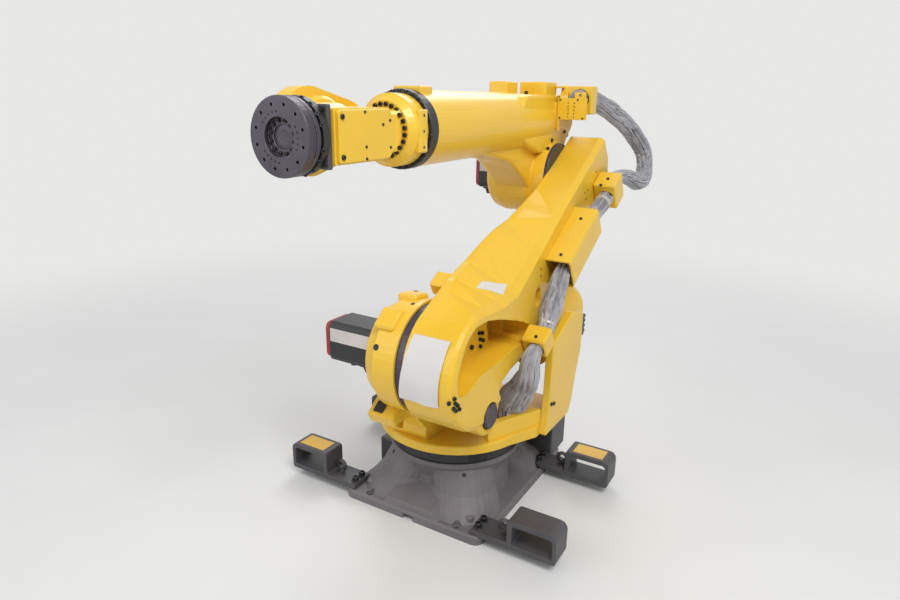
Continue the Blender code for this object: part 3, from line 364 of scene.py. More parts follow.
@dataclass(frozen=True)
class Cloth(Finish):
    """Coated glass cloth: silver-grey, a fine weave and a soft sheen along the folds."""

    weave: float = 900.0

    def weather(self, graph: Graph) -> None:
        """Weave, faded patches and darker grime.

        Args:
            graph: the material's graph.
        """
        graph.feed(graph.shader.inputs["Sheen Weight"], 0.25)
        patches = graph.clouds(11.0, 5.0, 0.65)
        grime = graph.ramp(graph.clouds(5.0, 4.0, 0.7), 0.52, 0.72)
        colour = graph.blend(grime * 0.30, self.shades(graph, patches), self.edge_colour)
        inputs = {"Vector": graph.place(), "Scale": self.weave / 6.0, "Distortion": 0.6, "Detail": 1.0}
        wave = graph.node("ShaderNodeTexWave", {"bands_direction": "DIAGONAL"}, inputs)
        warp = Socket(graph, wave.outputs["Fac"])
        woven = graph.blend(warp * 0.10, colour, self.edge_colour)
        graph.skin(woven, self.roughness + (patches - 0.5) * 0.25)
        graph.relief(warp * 0.4 + graph.clouds(70.0, 4.0, 0.7), 0.5, self.depth)


@dataclass(frozen=True)
class Ground(Finish):
    """The studio floor, which fades into the backdrop's colour away from the machine."""

    backdrop: Colour = (0.80, 0.80, 0.79)
    near: float = 1.6
    far: float = 5.0

    def weather(self, graph: Graph) -> None:
        """A matt floor whose far part is seen as plain backdrop.

        Args:
            graph: the material's graph.
        """
        patches = graph.clouds(1.5, 3.0, 0.5)
        graph.skin(self.shades(graph, patches), self.roughness + (patches - 0.5) * 0.1)
        graph.relief(graph.clouds(self.grain, 3.0), 0.1, self.depth)
        length = graph.node("ShaderNodeVectorMath", {"operation": "LENGTH"}, {0: graph.place()})
        away = graph.ramp(Socket(graph, length.outputs["Value"]), self.near, self.far)
        path = graph.node("ShaderNodeLightPath")
        camera, glossy = (Socket(graph, path.outputs[name]) for name in ("Is Camera Ray", "Is Glossy Ray"))
        glow = graph.node("ShaderNodeEmission", None, {"Color": self.backdrop})
        both = graph.node("ShaderNodeMixShader", None, {0: away * graph.maths("MAXIMUM", camera, glossy)})
        graph.tree.links.new(graph.shader.outputs[0], both.inputs[1])
        graph.tree.links.new(glow.outputs[0], both.inputs[2])
        graph.tree.links.new(both.outputs[0], graph.tree.nodes["Material Output"].inputs["Surface"])


# Its edge colour is a painted highlight on the rims and also the colour of the real scuffs.
PAINT = Enamel(
    "machine_paint", "paint", (0.84, 0.520, 0.030), 0.36, coat=0.2, mottle=0.025, grain=320.0, depth=0.0004,
    edge=0.004, edge_colour=(0.95, 0.72, 0.22),
)
CAST_GREY = Casting(
    "cast_grey_paint", "base_grey", (0.150, 0.137, 0.146), 0.56, mottle=0.10, grain=170.0, depth=0.0007,
    edge=0.004, edge_colour=(0.33, 0.31, 0.32),
)
DARK_GREY = Casting(
    "dark_grey_paint", "dark_grey", (0.060, 0.057, 0.063), 0.5, mottle=0.12, grain=260.0, depth=0.0004,
    edge=0.003, edge_colour=(0.20, 0.19, 0.20),
)
# The pale edge colours of the turned finishes below are painted glints on their rims.
GUNMETAL = Turned(
    "blackened_steel", "gunmetal", (0.080, 0.071, 0.090), 0.38, metallic=0.55, mottle=0.10, grain=600.0,
    depth=0.0001, edge=0.0012, edge_colour=(0.60, 0.58, 0.60),
)
STEEL = Turned(
    "ground_steel", "steel", (0.45, 0.45, 0.47), 0.28, metallic=0.95, grain=700.0, depth=0.00005, edge=0.001,
    edge_colour=(0.7, 0.7, 0.72),
)
BLACK = Finish(
    "black_paint", "black", (0.016, 0.017, 0.019), 0.40, grain=300.0, edge=0.0015,
    edge_colour=(0.09, 0.09, 0.10),
)
# Its pale edge colour paints the glints on the rims of the black screw heads.
OXIDE = Turned(
    "black_oxide", "black", (0.018, 0.017, 0.019), 0.36, metallic=0.3, grain=800.0, depth=0.00005,
    edge=0.0007, edge_colour=(0.42, 0.41, 0.42),
)
# Near black, for the inside of small holes: painted shade.
SHADE = Finish("painted_hole_shade", "black", (0.006, 0.006, 0.006), 0.8, grain=300.0)
RED = Finish("red_plastic", "red", (0.40, 0.020, 0.030), 0.4, edge=0.002, edge_colour=(0.6, 0.12, 0.12))
SILVER = Finish("motor_plate", "steel", (0.62, 0.58, 0.57), 0.42, metallic=0.1, mottle=0.05, grain=500.0)
RUBBER = Finish("rubber", "rubber", (0.030, 0.029, 0.028), 0.8, grain=200.0, depth=0.0003)
PAPER = Finish("plain_paper", "steel", (0.68, 0.665, 0.65), 0.62, mottle=0.02, grain=260.0, depth=0.0002)
STICKER = Finish("plain_sticker", "paint", (0.72, 0.44, 0.055), 0.38, mottle=0.05, grain=300.0, depth=0.0001)
SLEEVE = Cloth(
    "sleeve_cloth", "sleeve", (0.40, 0.395, 0.42), 0.46, mottle=0.16, grain=400.0, depth=0.0009,
    edge_colour=(0.12, 0.118, 0.13),
)
FLOOR = Ground("pale_floor", "steel", (0.76, 0.76, 0.75), 0.55, mottle=0.01, grain=60.0, depth=0.00005)

SOLID_FINISHES = {
    "paint": PAINT,
    "base_grey": CAST_GREY,
    "dark_grey": DARK_GREY,
    "gunmetal": GUNMETAL,
    "black": BLACK,
    "steel": STEEL,
    "red": RED,
    "sleeve": SLEEVE,
    "rubber": RUBBER,
}


def basis(axis: Point) -> tuple[Vector, Vector, Vector]:
    """Three directions at right angles."""
    ahead = Vector(axis).normalized()
    helper = Z_AXIS if abs(ahead.z) < 0.9 else X_AXIS
    across = helper.cross(ahead).normalized()
    return across, ahead.cross(across), ahead


def smooth(points: Sequence[Vector], spacing: float) -> list[Vector]:
    """Even points along a smooth curve through the given ones.

    Args:
        points: the route.
        spacing: the distance between the new points.

    Returns:
        The new points.
    """
    ends = [points[0] * 2.0 - points[1], *points, points[-1] * 2.0 - points[-2]]
    fine = []
    for p0, p1, p2, p3 in zip(ends, ends[1:], ends[2:], ends[3:]):
        for k in range(24):
            t = k / 24.0
            bend = (2.0 * p0 - 5.0 * p1 + 4.0 * p2 - p3) * t * t
            fine.append(0.5 * (2.0 * p1 + (p2 - p0) * t + bend + (3.0 * p1 - p0 - 3.0 * p2 + p3) * t * t * t))
    fine.append(points[-1])
    length = sum((b - a).length for a, b in zip(fine, fine[1:]))
    steps = max(3, round(length / spacing))
    marks = [length * i / steps for i in range(1, steps)]
    route = [fine[0]]
    walked = 0.0
    for a, b in zip(fine, fine[1:]):
        stretch = (b - a).length
        while marks and walked + stretch >= marks[0]:
            route.append(a.lerp(b, (marks.pop(0) - walked) / stretch))
        walked += stretch
    route.append(fine[-1])
    return route


def stations(route: Sequence[Vector]) -> list[tuple[Vector, Vector, Vector, float]]:
    """Frames along a route that don't twist.

    Args:
        route: its points.

    Returns:
        For each point its place, two directions across the route, and the share of the way to it.
    """
    tangents = [(b - a).normalized() for a, b in zip(route, route[1:])]
    tangents.append(tangents[-1])
    across, _, _ = basis(tangents[0])
    found = []
    for k, (place, ahead) in enumerate(zip(route, tangents)):
        across = (across - ahead * across.dot(ahead)).normalized()
        found.append((place, across, ahead.cross(across), k / (len(route) - 1)))
    return found


class Surface:
    """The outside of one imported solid, on which small pieces are set down."""

    def __init__(self, solid: bpy.types.Object, frame: Matrix) -> None:
        """Measure the solid."""
        mesh = solid.data
        corners = [vertex.co for vertex in mesh.vertices]
        self.tree = BVHTree.FromPolygons(corners, [tuple(face.vertices) for face in mesh.polygons])
        self.frame = frame
        self.back = frame.inverted()
        self.name = solid.name

    def under(self, start: Point, way: Point) -> tuple[Vector, Vector]:
        """Where a line from outside meets the solid.

        Args:
            start: a point outside it.
            way: the direction that the line runs in.

        Returns:
            The place on the surface and the surface's own direction there.
        """
        begin = self.frame @ Vector(start)
        along = (self.frame.to_3x3() @ Vector(way)).normalized()
        place, normal, _, _ = self.tree.ray_cast(begin, along)
        if place is None:
            LOG.warning("%s isn't under %s", self.name, tuple(start))
            return Vector(start), -Vector(way).normalized()
        if normal.dot(along) > 0.0:
            normal = -normal
        return self.back @ place, (self.back.to_3x3() @ normal).normalized()


class Form:
    """A mesh in the making, drawn in the frame of one sub-assembly."""

    def __init__(self, frame: Matrix = WORLD) -> None:
        """Start an empty mesh."""
        self.mesh = bmesh.new()
        self.frame = frame

    def rows(self, rings: Sequence[Sequence[bmesh.types.BMVert]], hollow: bool = False) -> None:
        """Join rings of points with faces and close both ends.

        Args:
            rings: rings of one size, or single points at an end.
            hollow: join the last ring to the first instead, with nothing in the middle.
        """
        if hollow:
            rings = [*rings, rings[0]]
        for low, high in zip(rings, rings[1:]):
            count = max(len(low), len(high))
            for i in range(count):
                j = (i + 1) % count
                corners = [low[i % len(low)], low[j % len(low)], high[j % len(high)], high[i % len(high)]]
                face = [corner for k, corner in enumerate(corners) if corner is not corners[k - 1]]
                self.mesh.faces.new(face)
        for ring in (rings[0], rings[-1]):
            if len(ring) > 2 and not hollow:
                self.mesh.faces.new(ring)

    def turned(
        self,
        at: Point,
        axis: Point,
        profile: Iterable[Point],
        sides: int = 16,
        hexes: Sequence[int] = (),
        hollow: bool = False,
    ) -> None:
        """Turn a profile about an axis.

        Args:
            at: a point on the axis.
            axis: the axis.
            profile: heights along the axis with their radii.
            sides: corners in a ring.
            hexes: rings that are six-sided; these need 12 sides.
            hollow: the profile is closed and its middle stays open.
        """
        across, up, ahead = basis(axis)
        rings = []
        for k, (height, radius) in enumerate(profile):
            centre = Vector(at) + ahead * height
            if radius <= 0.0:
                rings.append([self.mesh.verts.new(centre)])
                continue
            ring = []
            for i in range(sides):
                turn = 2.0 * math.pi * i / sides
                flat = math.cos(math.pi / 6.0) if k in hexes and i % 2 else 1.0
                spoke = across * math.cos(turn) + up * math.sin(turn)
                ring.append(self.mesh.verts.new(centre + spoke * radius * flat))
            rings.append(ring)
        self.rows(rings, hollow)

    def screw(self, at: Point, axis: Point, radius: float, height: float) -> None:
        """A socket screw's head with its six-sided recess.

        Args:
            at: its seat.
            axis: the way its head points.
            radius: the head's radius.
            height: the head's height.
        """
        depth = min(0.7 * radius, 0.8 * height)
        profile = [
            (-0.0006, radius),
            (height - 0.14 * radius, radius),
            (height, 0.86 * radius),
            (height, 0.56 * radius),
            (height - depth, 0.54 * radius),
        ]
        self.turned(at, axis, profile, 12, (3, 4))

    def seat(self, surface: Surface, start: Point, way: Point, radius: float, height: float) -> None:
        """A socket screw where a line from start meets a solid."""
        self.screw(*surface.under(start, way), radius, height)

    def nut(self, at: Point, axis: Point, radius: float, height: float) -> None:
        """A six-sided head on a washer."""
        self.turned(at, axis, [(-0.0005, 1.2 * radius), (0.0015, 1.2 * radius), (0.0017, 1.1 * radius)], 20)
        profile = [(0.001, radius), (height - 0.1 * radius, radius), (height, 0.8 * radius)]
        self.turned(at, axis, profile, 12, (0, 1))

    def dimple(self, at: Point, axis: Point, radius: float, proud: float = 0.0004) -> None:
        """A small plugged or threaded hole. A plug is black of itself; for a threaded hole the black disc is
        painted shade.
        """
        profile = [(-0.002, radius), (proud, radius), (proud, 0.84 * radius), (0.5 * proud, 0.78 * radius)]
        self.turned(at, axis, profile, 14)

    def block(self, low: Point, high: Point, bevel: float = 0.002, steps: int = 2) -> None:
        """A box with broken edges.

        Args:
            low: one corner.
            high: the corner across from it.
            bevel: the width of its broken edges.
            steps: faces across a broken edge.
        """
        # Bevelled on its own and copied in, so that the order of the faces is the same in each run.
        box = bmesh.new()
        size = Vector(abs(b - a) for a, b in zip(low, high))
        middle = (Vector(high) + Vector(low)) / 2.0
        for vertex in bmesh.ops.create_cube(box, size=1.0)["verts"]:
            vertex.co = Vector(c * s for c, s in zip(vertex.co, size)) + middle
        bmesh.ops.bevel(box, geom=box.edges[:], offset=bevel, segments=steps, affect="EDGES", profile=0.5)
        copies = {vertex: self.mesh.verts.new(vertex.co) for vertex in box.verts}
        for face in box.faces:
            self.mesh.faces.new([copies[vertex] for vertex in face.verts])
        box.free()

    def slab(self, outline: Sequence[Point], thickness: Point) -> None:
        """A flat plate with any outline."""
        first = [self.mesh.verts.new(Vector(corner)) for corner in outline]
        second = [self.mesh.verts.new(Vector(corner) + Vector(thickness)) for corner in outline]
        self.rows([first, second])

    def tube(self, route: Sequence[Point], radius: float, sides: int = 12) -> None:
        """A round bead or cable along a smooth route."""
        rings = []
        turns = [2.0 * math.pi * i / sides for i in range(sides)]
        for centre, across, up, _ in stations(smooth([Vector(p) for p in route], 0.006)):
            spokes = (across * math.cos(turn) + up * math.sin(turn) for turn in turns)
            rings.append([self.mesh.verts.new(centre + spoke * radius) for spoke in spokes])
        self.rows(rings)

    def sheet(self, layers: Sequence[Sequence[Point]], rows: int, columns: int) -> None:
        """A thin closed sheet from two layers of a grid.

        Args:
            layers: the lower and the upper layer, row by row.
            rows: cells down the grid.
            columns: cells across the grid.
        """
        made = [[self.mesh.verts.new(Vector(point)) for point in layer] for layer in layers]
        count = columns + 1
        for layer in made:
            for i in range(rows):
                for j in range(columns):
                    k = i * count + j
                    self.mesh.faces.new([layer[k], layer[k + 1], layer[k + count + 1], layer[k + count]])
        rim = [i * count for i in range(rows)] + [rows * count + j for j in range(columns)]
        rim += [i * count + columns for i in range(rows, 0, -1)] + list(range(columns, 0, -1))
        for k, m in zip(rim, rim[1:] + rim[:1]):
            self.mesh.faces.new([made[0][k], made[0][m], made[1][m], made[1][k]])

    def patch(
        self, surface: Surface, corners: Sequence[Point], way: Point, lift: float, cells: int = 10
    ) -> None:
        """A thin sheet laid on a solid.

        Args:
            surface: the solid that it lies on.
            corners: its four corners, in order.
            way: the direction from outside to the solid.
            lift: the sheet's thickness.
            cells: cells along each side.
        """
        a, b, c, d = (Vector(corner) for corner in corners)
        inward = Vector(way).normalized()
        grid = []
        for i in range(cells + 1):
            for j in range(cells + 1):
                spot = a.lerp(b, i / cells).lerp(d.lerp(c, i / cells), j / cells)
                grid.append(surface.under(spot - inward * 0.03, inward)[0] - inward * 0.0002)
        self.sheet([grid, [point - inward * lift for point in grid]], cells, cells)

    def piece(self, name: str, finish: Finish, body: Body | None, sharp: float = 35.0) -> bpy.types.Object:
        """Turn the mesh into a piece that rides on a body.

        Args:
            name: the piece's name.
            finish: its surface.
            body: the body that carries it, or none for a piece between two bodies.
            sharp: the angle in degrees above which an edge is sharp.

        Returns:
            The piece.
        """
        self.mesh.transform(self.frame)
        bmesh.ops.recalc_face_normals(self.mesh, faces=self.mesh.faces)
        mesh = bpy.data.meshes.new(name)
        self.mesh.to_mesh(mesh)
        self.mesh.free()
        mesh.polygons.foreach_set("use_smooth", [True] * len(mesh.polygons))
        mesh.set_sharp_from_angle(angle=math.radians(sharp))
        thing = bpy.data.objects.new(name, mesh)
        bpy.context.scene.collection.objects.link(thing)
        finish.dress(thing)
        if body is not None:
            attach(thing, body.value)
        LOG.info("%s is made, %d faces", name, len(mesh.polygons))
        return thing


@dataclass
class Sleeve:
    """A cloth sleeve full of cables, gathered in pleats along its way."""

    name: str
    node: str
    route: Sequence[Point]
    girth: Sequence[Point]
    frame: Matrix = field(default_factory=Matrix)
    pleats: float = 2.2
    depth: float = 0.16
    crumple: float = 0.05
    seed: float = 0.0
    sides: int = 96
    step: float = 0.004

    def radius(self, share: float) -> float:
        """The mean radius a share of the way along."""
        for (s0, r0), (s1, r1) in zip(self.girth, self.girth[1:]):
            if share <= s1:
                t = (share - s0) / (s1 - s0)
                return r0 + (r1 - r0) * t * t * (3.0 - 2.0 * t)
        return self.girth[-1][1]

    def fold(self, turn: float, along: float, bend: float) -> float:
        """How far the cloth stands out or in.

        Args:
            turn: the angle round the sleeve.
            along: the distance along it in metres.
            bend: how much this side of the sleeve is pressed together, from 0 to 1.

        Returns:
            A share of the radius, below 0 in a fold.
        """
        wheel = (math.cos(turn) * self.pleats, math.sin(turn) * self.pleats)
        drift = noise.noise(Vector((wheel[0] * 0.6, wheel[1] * 0.6, along * 3.0 + self.seed + 7.0)))
        first = noise.noise(Vector((wheel[0] * 1.3, wheel[1] * 1.3, along * 4.5 + drift + self.seed)))
        second = noise.noise(Vector((wheel[0] * 2.7, wheel[1] * 2.7, along * 8.0 + self.seed + 31.0)))
        crease = -max(0.0, 1.0 - abs(first) * 5.0) ** 1.6
        minor = -max(0.0, 1.0 - abs(second) * 6.0) ** 1.4
        across = noise.noise(Vector((wheel[0], wheel[1], along * 42.0 + first * 2.0 + self.seed)))
        ripple = noise.noise(Vector((wheel[0] * 0.9, wheel[1] * 0.9, along * 13.0 - self.seed)))
        pressed = self.crumple * (0.25 + 2.6 * bend)
        return self.depth * (crease + 0.45 * minor + 0.5 * drift) + pressed * (across + 0.9 * ripple)

    def build(self) -> Form:
        """Draw the sleeve.

        Returns:
            The mesh, closed at both ends.
        """
        form = Form(self.frame)
        line = smooth([Vector(p) for p in self.route], self.step)
        length = self.step * len(line)
        rings = []
        for k, (centre, across, up, share) in enumerate(stations(line)):
            inward = (line[max(0, k - 12)] + line[min(len(line) - 1, k + 12)]) / 2.0 - centre
            pull = min(1.0, inward.length / 0.012)
            hold = 0.35 + 0.65 * max(0.0, min(1.0, share * length / 0.02, (1.0 - share) * length / 0.02))
            ring = []
            for i in range(self.sides):
                turn = 2.0 * math.pi * i / self.sides
                spoke = across * math.cos(turn) + up * math.sin(turn)
                side = max(0.0, spoke.dot(inward.normalized())) * pull if inward.length > 1e-6 else 0.0
                swell = 1.0 + self.fold(turn, share * length, side) * hold
                ring.append(form.mesh.verts.new(centre + spoke * self.radius(share) * swell))
            rings.append(ring)
        form.rows(rings)
        return form


@dataclass
class Servo:
    """The dress of one square servo motor: side plate, plugs and the screws of its cap.

    In its frame z runs out along the motor, x to its sides and y up.
    """

    name: str
    body: Body
    frame: Matrix
    half: float
    start: float
    end: float
    cap_end: float
    capped: bool = False
    plate_side: float = 1.0
    plug_side: float = -1.0

    def build(self) -> None:
        """Dress the motor."""
        self.plate()
        self.end_screws()
        if self.capped:
            cap = Form(self.frame)
            low = (-self.half, -self.half, self.end + 0.0003)
            cap.block(low, (self.half, self.half, self.cap_end), 0.005)
            cap.piece(self.name + "_end_cap", RED, self.body)
        self.plugs()

    def plate(self) -> None:
        """The pale plate on the upper half of one side."""
        plate = Form(self.frame)
        face = self.half * self.plate_side
        inset = 0.10 * (self.end - self.start)
        low = (face - 0.0004 * self.plate_side, 0.05 * self.half, self.start + inset)
        high = (face + 0.0010 * self.plate_side, 0.72 * self.half, self.end - 0.004)
        plate.block(low, high, 0.0003, 1)
        plate.piece(self.name + "_plate", SILVER, self.body)

    def end_screws(self) -> None:
        """Four screws and the round blank on the motor's end."""
        screws = Form(self.frame)
        reach = 0.74 * self.half
        for x in (-reach, reach):
            for y in (-reach, reach):
                screws.screw((x, y, self.cap_end), Z_AXIS, 0.0045, 0.003)
        blank = [(-0.0004, 0.22 * self.half), (0.001, 0.22 * self.half), (0.0014, 0.19 * self.half)]
        screws.turned((0.0, 0.0, self.cap_end), Z_AXIS, blank, 24)
        screws.piece(self.name + "_screws", OXIDE, self.body)

    def plugs(self) -> None:
        """Two cable plugs beside the motor's far end."""
        plugs = Form(self.frame)
        size = 0.30 * self.half
        side = self.plug_side
        profile = [(0.0, 0.8 * size), (0.010, 0.8 * size), (0.012, 0.65 * size), (0.022, 0.6 * size)]
        for share, x in ((0.80, -0.1 * self.half), (0.42, 0.25 * self.half)):
            z = self.start + (self.end - self.start) * share
            foot = side * (self.half + 0.012)
            near = (x - size, side * (self.half - 0.001), z - size)
            plugs.block(near, (x + size, foot, z + size), 0.002)
            plugs.turned((x, foot, z), Y_AXIS * side, profile)
        plugs.piece(self.name + "_plugs", OXIDE, self.body)


@dataclass
class Base:
    """Foot, fork brackets and cable entry."""

    nodes: Mapping[str, bpy.types.Object]
    bracket_x: tuple[float, float] = (0.285, -0.255)
    screw_y: float = 0.280
    screw_gap: float = 0.021
    bracket_top: float = 0.150
    sticker_y: tuple[float, float] = (0.432, 0.556)
    panel: Sequence[Point] = ((0.300, -0.058), (0.300, 0.098), (0.338, 0.098), (0.338, -0.058))

    def build(self) -> None:
        """Dress the base."""
        self.bracket_screws()
        self.stickers()
        self.pedestal_plugs()
        self.front_panel()
        self.rear_panel()

    def bracket_screws(self) -> None:
        """Two tall socket screws on each bracket's foot."""
        screws = Form()
        for name in ("front_left", "front_right", "rear_left", "rear_right"):
            side = 1.0 if name.endswith("left") else -1.0
            x = self.bracket_x[0] if name.startswith("front") else self.bracket_x[1]
            bracket = Surface(self.nodes["fork_bracket_" + name], WORLD)
            for shift in (self.screw_gap, -self.screw_gap):
                at, up = bracket.under((x + shift, side * self.screw_y, 0.30), -Z_AXIS)
                screws.screw(at, up, 0.0125, 0.019)
                screws.turned(at, up, [(-0.0005, 0.0155), (0.002, 0.0155), (0.0023, 0.0145)], 20)
        screws.piece("bracket_screws", OXIDE, Body.BASE)

    def stickers(self) -> None:
        """Plain yellow stickers on two of the brackets."""
        stickers = Form()
        for x, side in ((self.bracket_x[0], -1.0), (self.bracket_x[1], 1.0)):
            near, far = (side * y for y in self.sticker_y)
            low, high = (x - 0.036, near, self.bracket_top), (x + 0.036, far, self.bracket_top + 0.0008)
            stickers.block(low, high, 0.0003, 1)
        stickers.piece("bracket_stickers", STICKER, Body.BASE)

    def pedestal_plugs(self) -> None:
        """Four plugs low on the pedestal."""
        pedestal = Surface(self.nodes["base_casting"], WORLD)
        plugs = Form()
        for turn in (38.0, 142.0, 218.0, 322.0):
            way = Vector((math.cos(math.radians(turn)), math.sin(math.radians(turn)), 0.0))
            at, out = pedestal.under(way * 0.6 + Z_AXIS * 0.175, -way)
            plugs.dimple(at, out, 0.008, 0.0008)
        plugs.piece("pedestal_plugs", OXIDE, Body.BASE)

    def front_panel(self) -> None:
        """The raised border of the bare panel on the front of the foot."""
        foot = Surface(self.nodes["base_casting"], WORLD)
        border = Form()
        corners = [foot.under((x, y, 0.40), -Z_AXIS)[0] for x, y in self.panel]
        for a, b in zip(corners, corners[1:] + corners[:1]):
            border.tube([a, a.lerp(b, 0.33), a.lerp(b, 0.66), b], 0.0022, 8)
        border.piece("front_panel_border", CAST_GREY, Body.BASE)

    def rear_panel(self) -> None:
        """Socket covers and screws of the cable entry."""
        box = Surface(self.nodes["connector_box"], WORLD)
        covers = Form()
        screws = Form()
        profile = [
            (-0.001, 0.034), (0.005, 0.034), (0.007, 0.031), (0.007, 0.024), (0.016, 0.023), (0.018, 0.019),
        ]
        for y in (-0.10, 0.0, 0.10):
            at, out = box.under((-0.80, y, 0.170), X_AXIS)
            covers.turned(at, out, profile, 28)
            for turn in (45.0, 135.0, 225.0, 315.0):
                angle = math.radians(turn)
                spoke = Vector((0.0, math.cos(angle), math.sin(angle))) * 0.029
                screws.screw(at + spoke + out * 0.005, out, 0.003, 0.003)
        covers.piece("socket_covers", BLACK, Body.BASE)
        self.corner_screws(screws, "connector_box", X_AXIS, 0.016, 0.006)
        self.corner_screws(screws, "cable_cover", Y_AXIS, 0.014, 0.005)
        screws.piece("entry_screws", OXIDE, Body.BASE)

    def corner_screws(self, screws: Form, name: str, way: Vector, inset: float, size: float) -> None:
        """Screws in the corners of one face of a solid."""
        solid = Surface(self.nodes[name], WORLD)
        low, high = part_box(name)
        across = Y_AXIS if way is X_AXIS else X_AXIS
        for u in (low.dot(across) + inset, high.dot(across) - inset):
            for z in (low.z + inset, high.z - inset):
                screws.seat(solid, across * u + Z_AXIS * z - way, way, size, 0.8 * size)


@dataclass
class Turret:
    """Turning floor, shoulder housing, left wall and their motors."""

    nodes: Mapping[str, bpy.types.Object]
    axle: Point = (0.312, 0.0, 0.670)
    flange_reach: float = 0.088
    wall_screws: Sequence[Point] = ((-0.085, 0.404), (-0.112, 0.396))

    def build(self) -> None:
        """Dress the turret."""
        self.wall()
        self.housing()
        self.motor_flange()
        shoulder = Matrix(((1, 0, 0, self.axle[0]), (0, 0, -1, 0), (0, 1, 0, self.axle[2]), (0, 0, 0, 1)))
        Servo("shoulder_motor", Body.TURRET, shoulder, 0.075, 0.0853, 0.3133, 0.3356).build()
        upright = Matrix(((0, 1, 0, -0.195), (-1, 0, 0, -0.085), (0, 0, 1, 0), (0, 0, 0, 1)))
        Servo("turning_motor", Body.TURRET, upright, 0.065, 0.4403, 0.640, 0.640).build()

    def wall(self) -> None:
        """Screws and cable plugs of the left wall."""
        wall = Surface(self.nodes["side_wall"], WORLD)
        screws = Form()
        for x, z in self.wall_screws:
            screws.seat(wall, (x, 0.60, z), -Y_AXIS, 0.0075, 0.006)
        screws.piece("wall_screws", OXIDE, Body.TURRET)
        plugs = Form()
        strip = Surface(self.nodes["wall_connectors"], WORLD)
        for z in (0.600, 0.622, 0.644, 0.664):
            at, out = strip.under((-0.60, 0.360, z), X_AXIS)
            plugs.turned(at, out, [(-0.001, 0.0095), (0.010, 0.0095), (0.012, 0.008), (0.018, 0.007)])
        plugs.piece("wall_plugs", OXIDE, Body.TURRET)

    def housing(self) -> None:
        """The oil plug in front of the shoulder and two on its humps."""
        casting = Surface(self.nodes["turret_casting"], WORLD)
        plugs = Form()
        at, out = casting.under((0.80, -0.018, 0.872), (-0.92, 0.0, -0.38))
        plugs.dimple(at, out, 0.011, 0.0006)
        for x, y in ((0.262, -0.018), (0.352, 0.030)):
            at, out = casting.under((x, y, 1.10), -Z_AXIS)
            plugs.dimple(at, out, 0.008, 0.0008)
        plugs.piece("shoulder_plugs", OXIDE, Body.TURRET)

    def motor_flange(self) -> None:
        """Screws round the shoulder motor."""
        casting = Surface(self.nodes["turret_casting"], WORLD)
        screws = Form()
        for x in (-self.flange_reach, self.flange_reach):
            for z in (-self.flange_reach, self.flange_reach):
                screws.seat(casting, Vector(self.axle) + Vector((x, -0.50, z)), Y_AXIS, 0.008, 0.007)
        screws.piece("motor_flange_screws", OXIDE, Body.TURRET)


@dataclass
class Balancer:
    """Spring cylinder and its pull rod."""

    pin: Point = (-0.190, 0.200, -0.050)
    dome: float = -0.330
    face: float = 0.100

    def build(self) -> None:
        """Dress the cylinder's ends."""
        pull = (ARM @ Vector(self.pin) - TRUNNION).normalized()
        low, high = TRUNNION + pull * self.dome, TRUNNION + pull * self.face
        nuts = Form()
        nuts.nut(low, -pull, 0.018, 0.014)
        across, up, _ = basis(-pull)
        for k in range(6):
            turn = math.radians(60.0 * k)
            nuts.screw(low + (across * math.cos(turn) + up * math.sin(turn)) * 0.045, -pull, 0.006, 0.005)
        nuts.piece("dome_nut", OXIDE, Body.BALANCER)
        seal = Form()
        ring = [(0.0005, 0.082), (0.006, 0.080), (0.008, 0.070), (0.008, 0.0655), (0.0005, 0.0655)]
        seal.turned(high, pull, ring, 40, hollow=True)
        seal.piece("rod_seal", BLACK, Body.BALANCER)


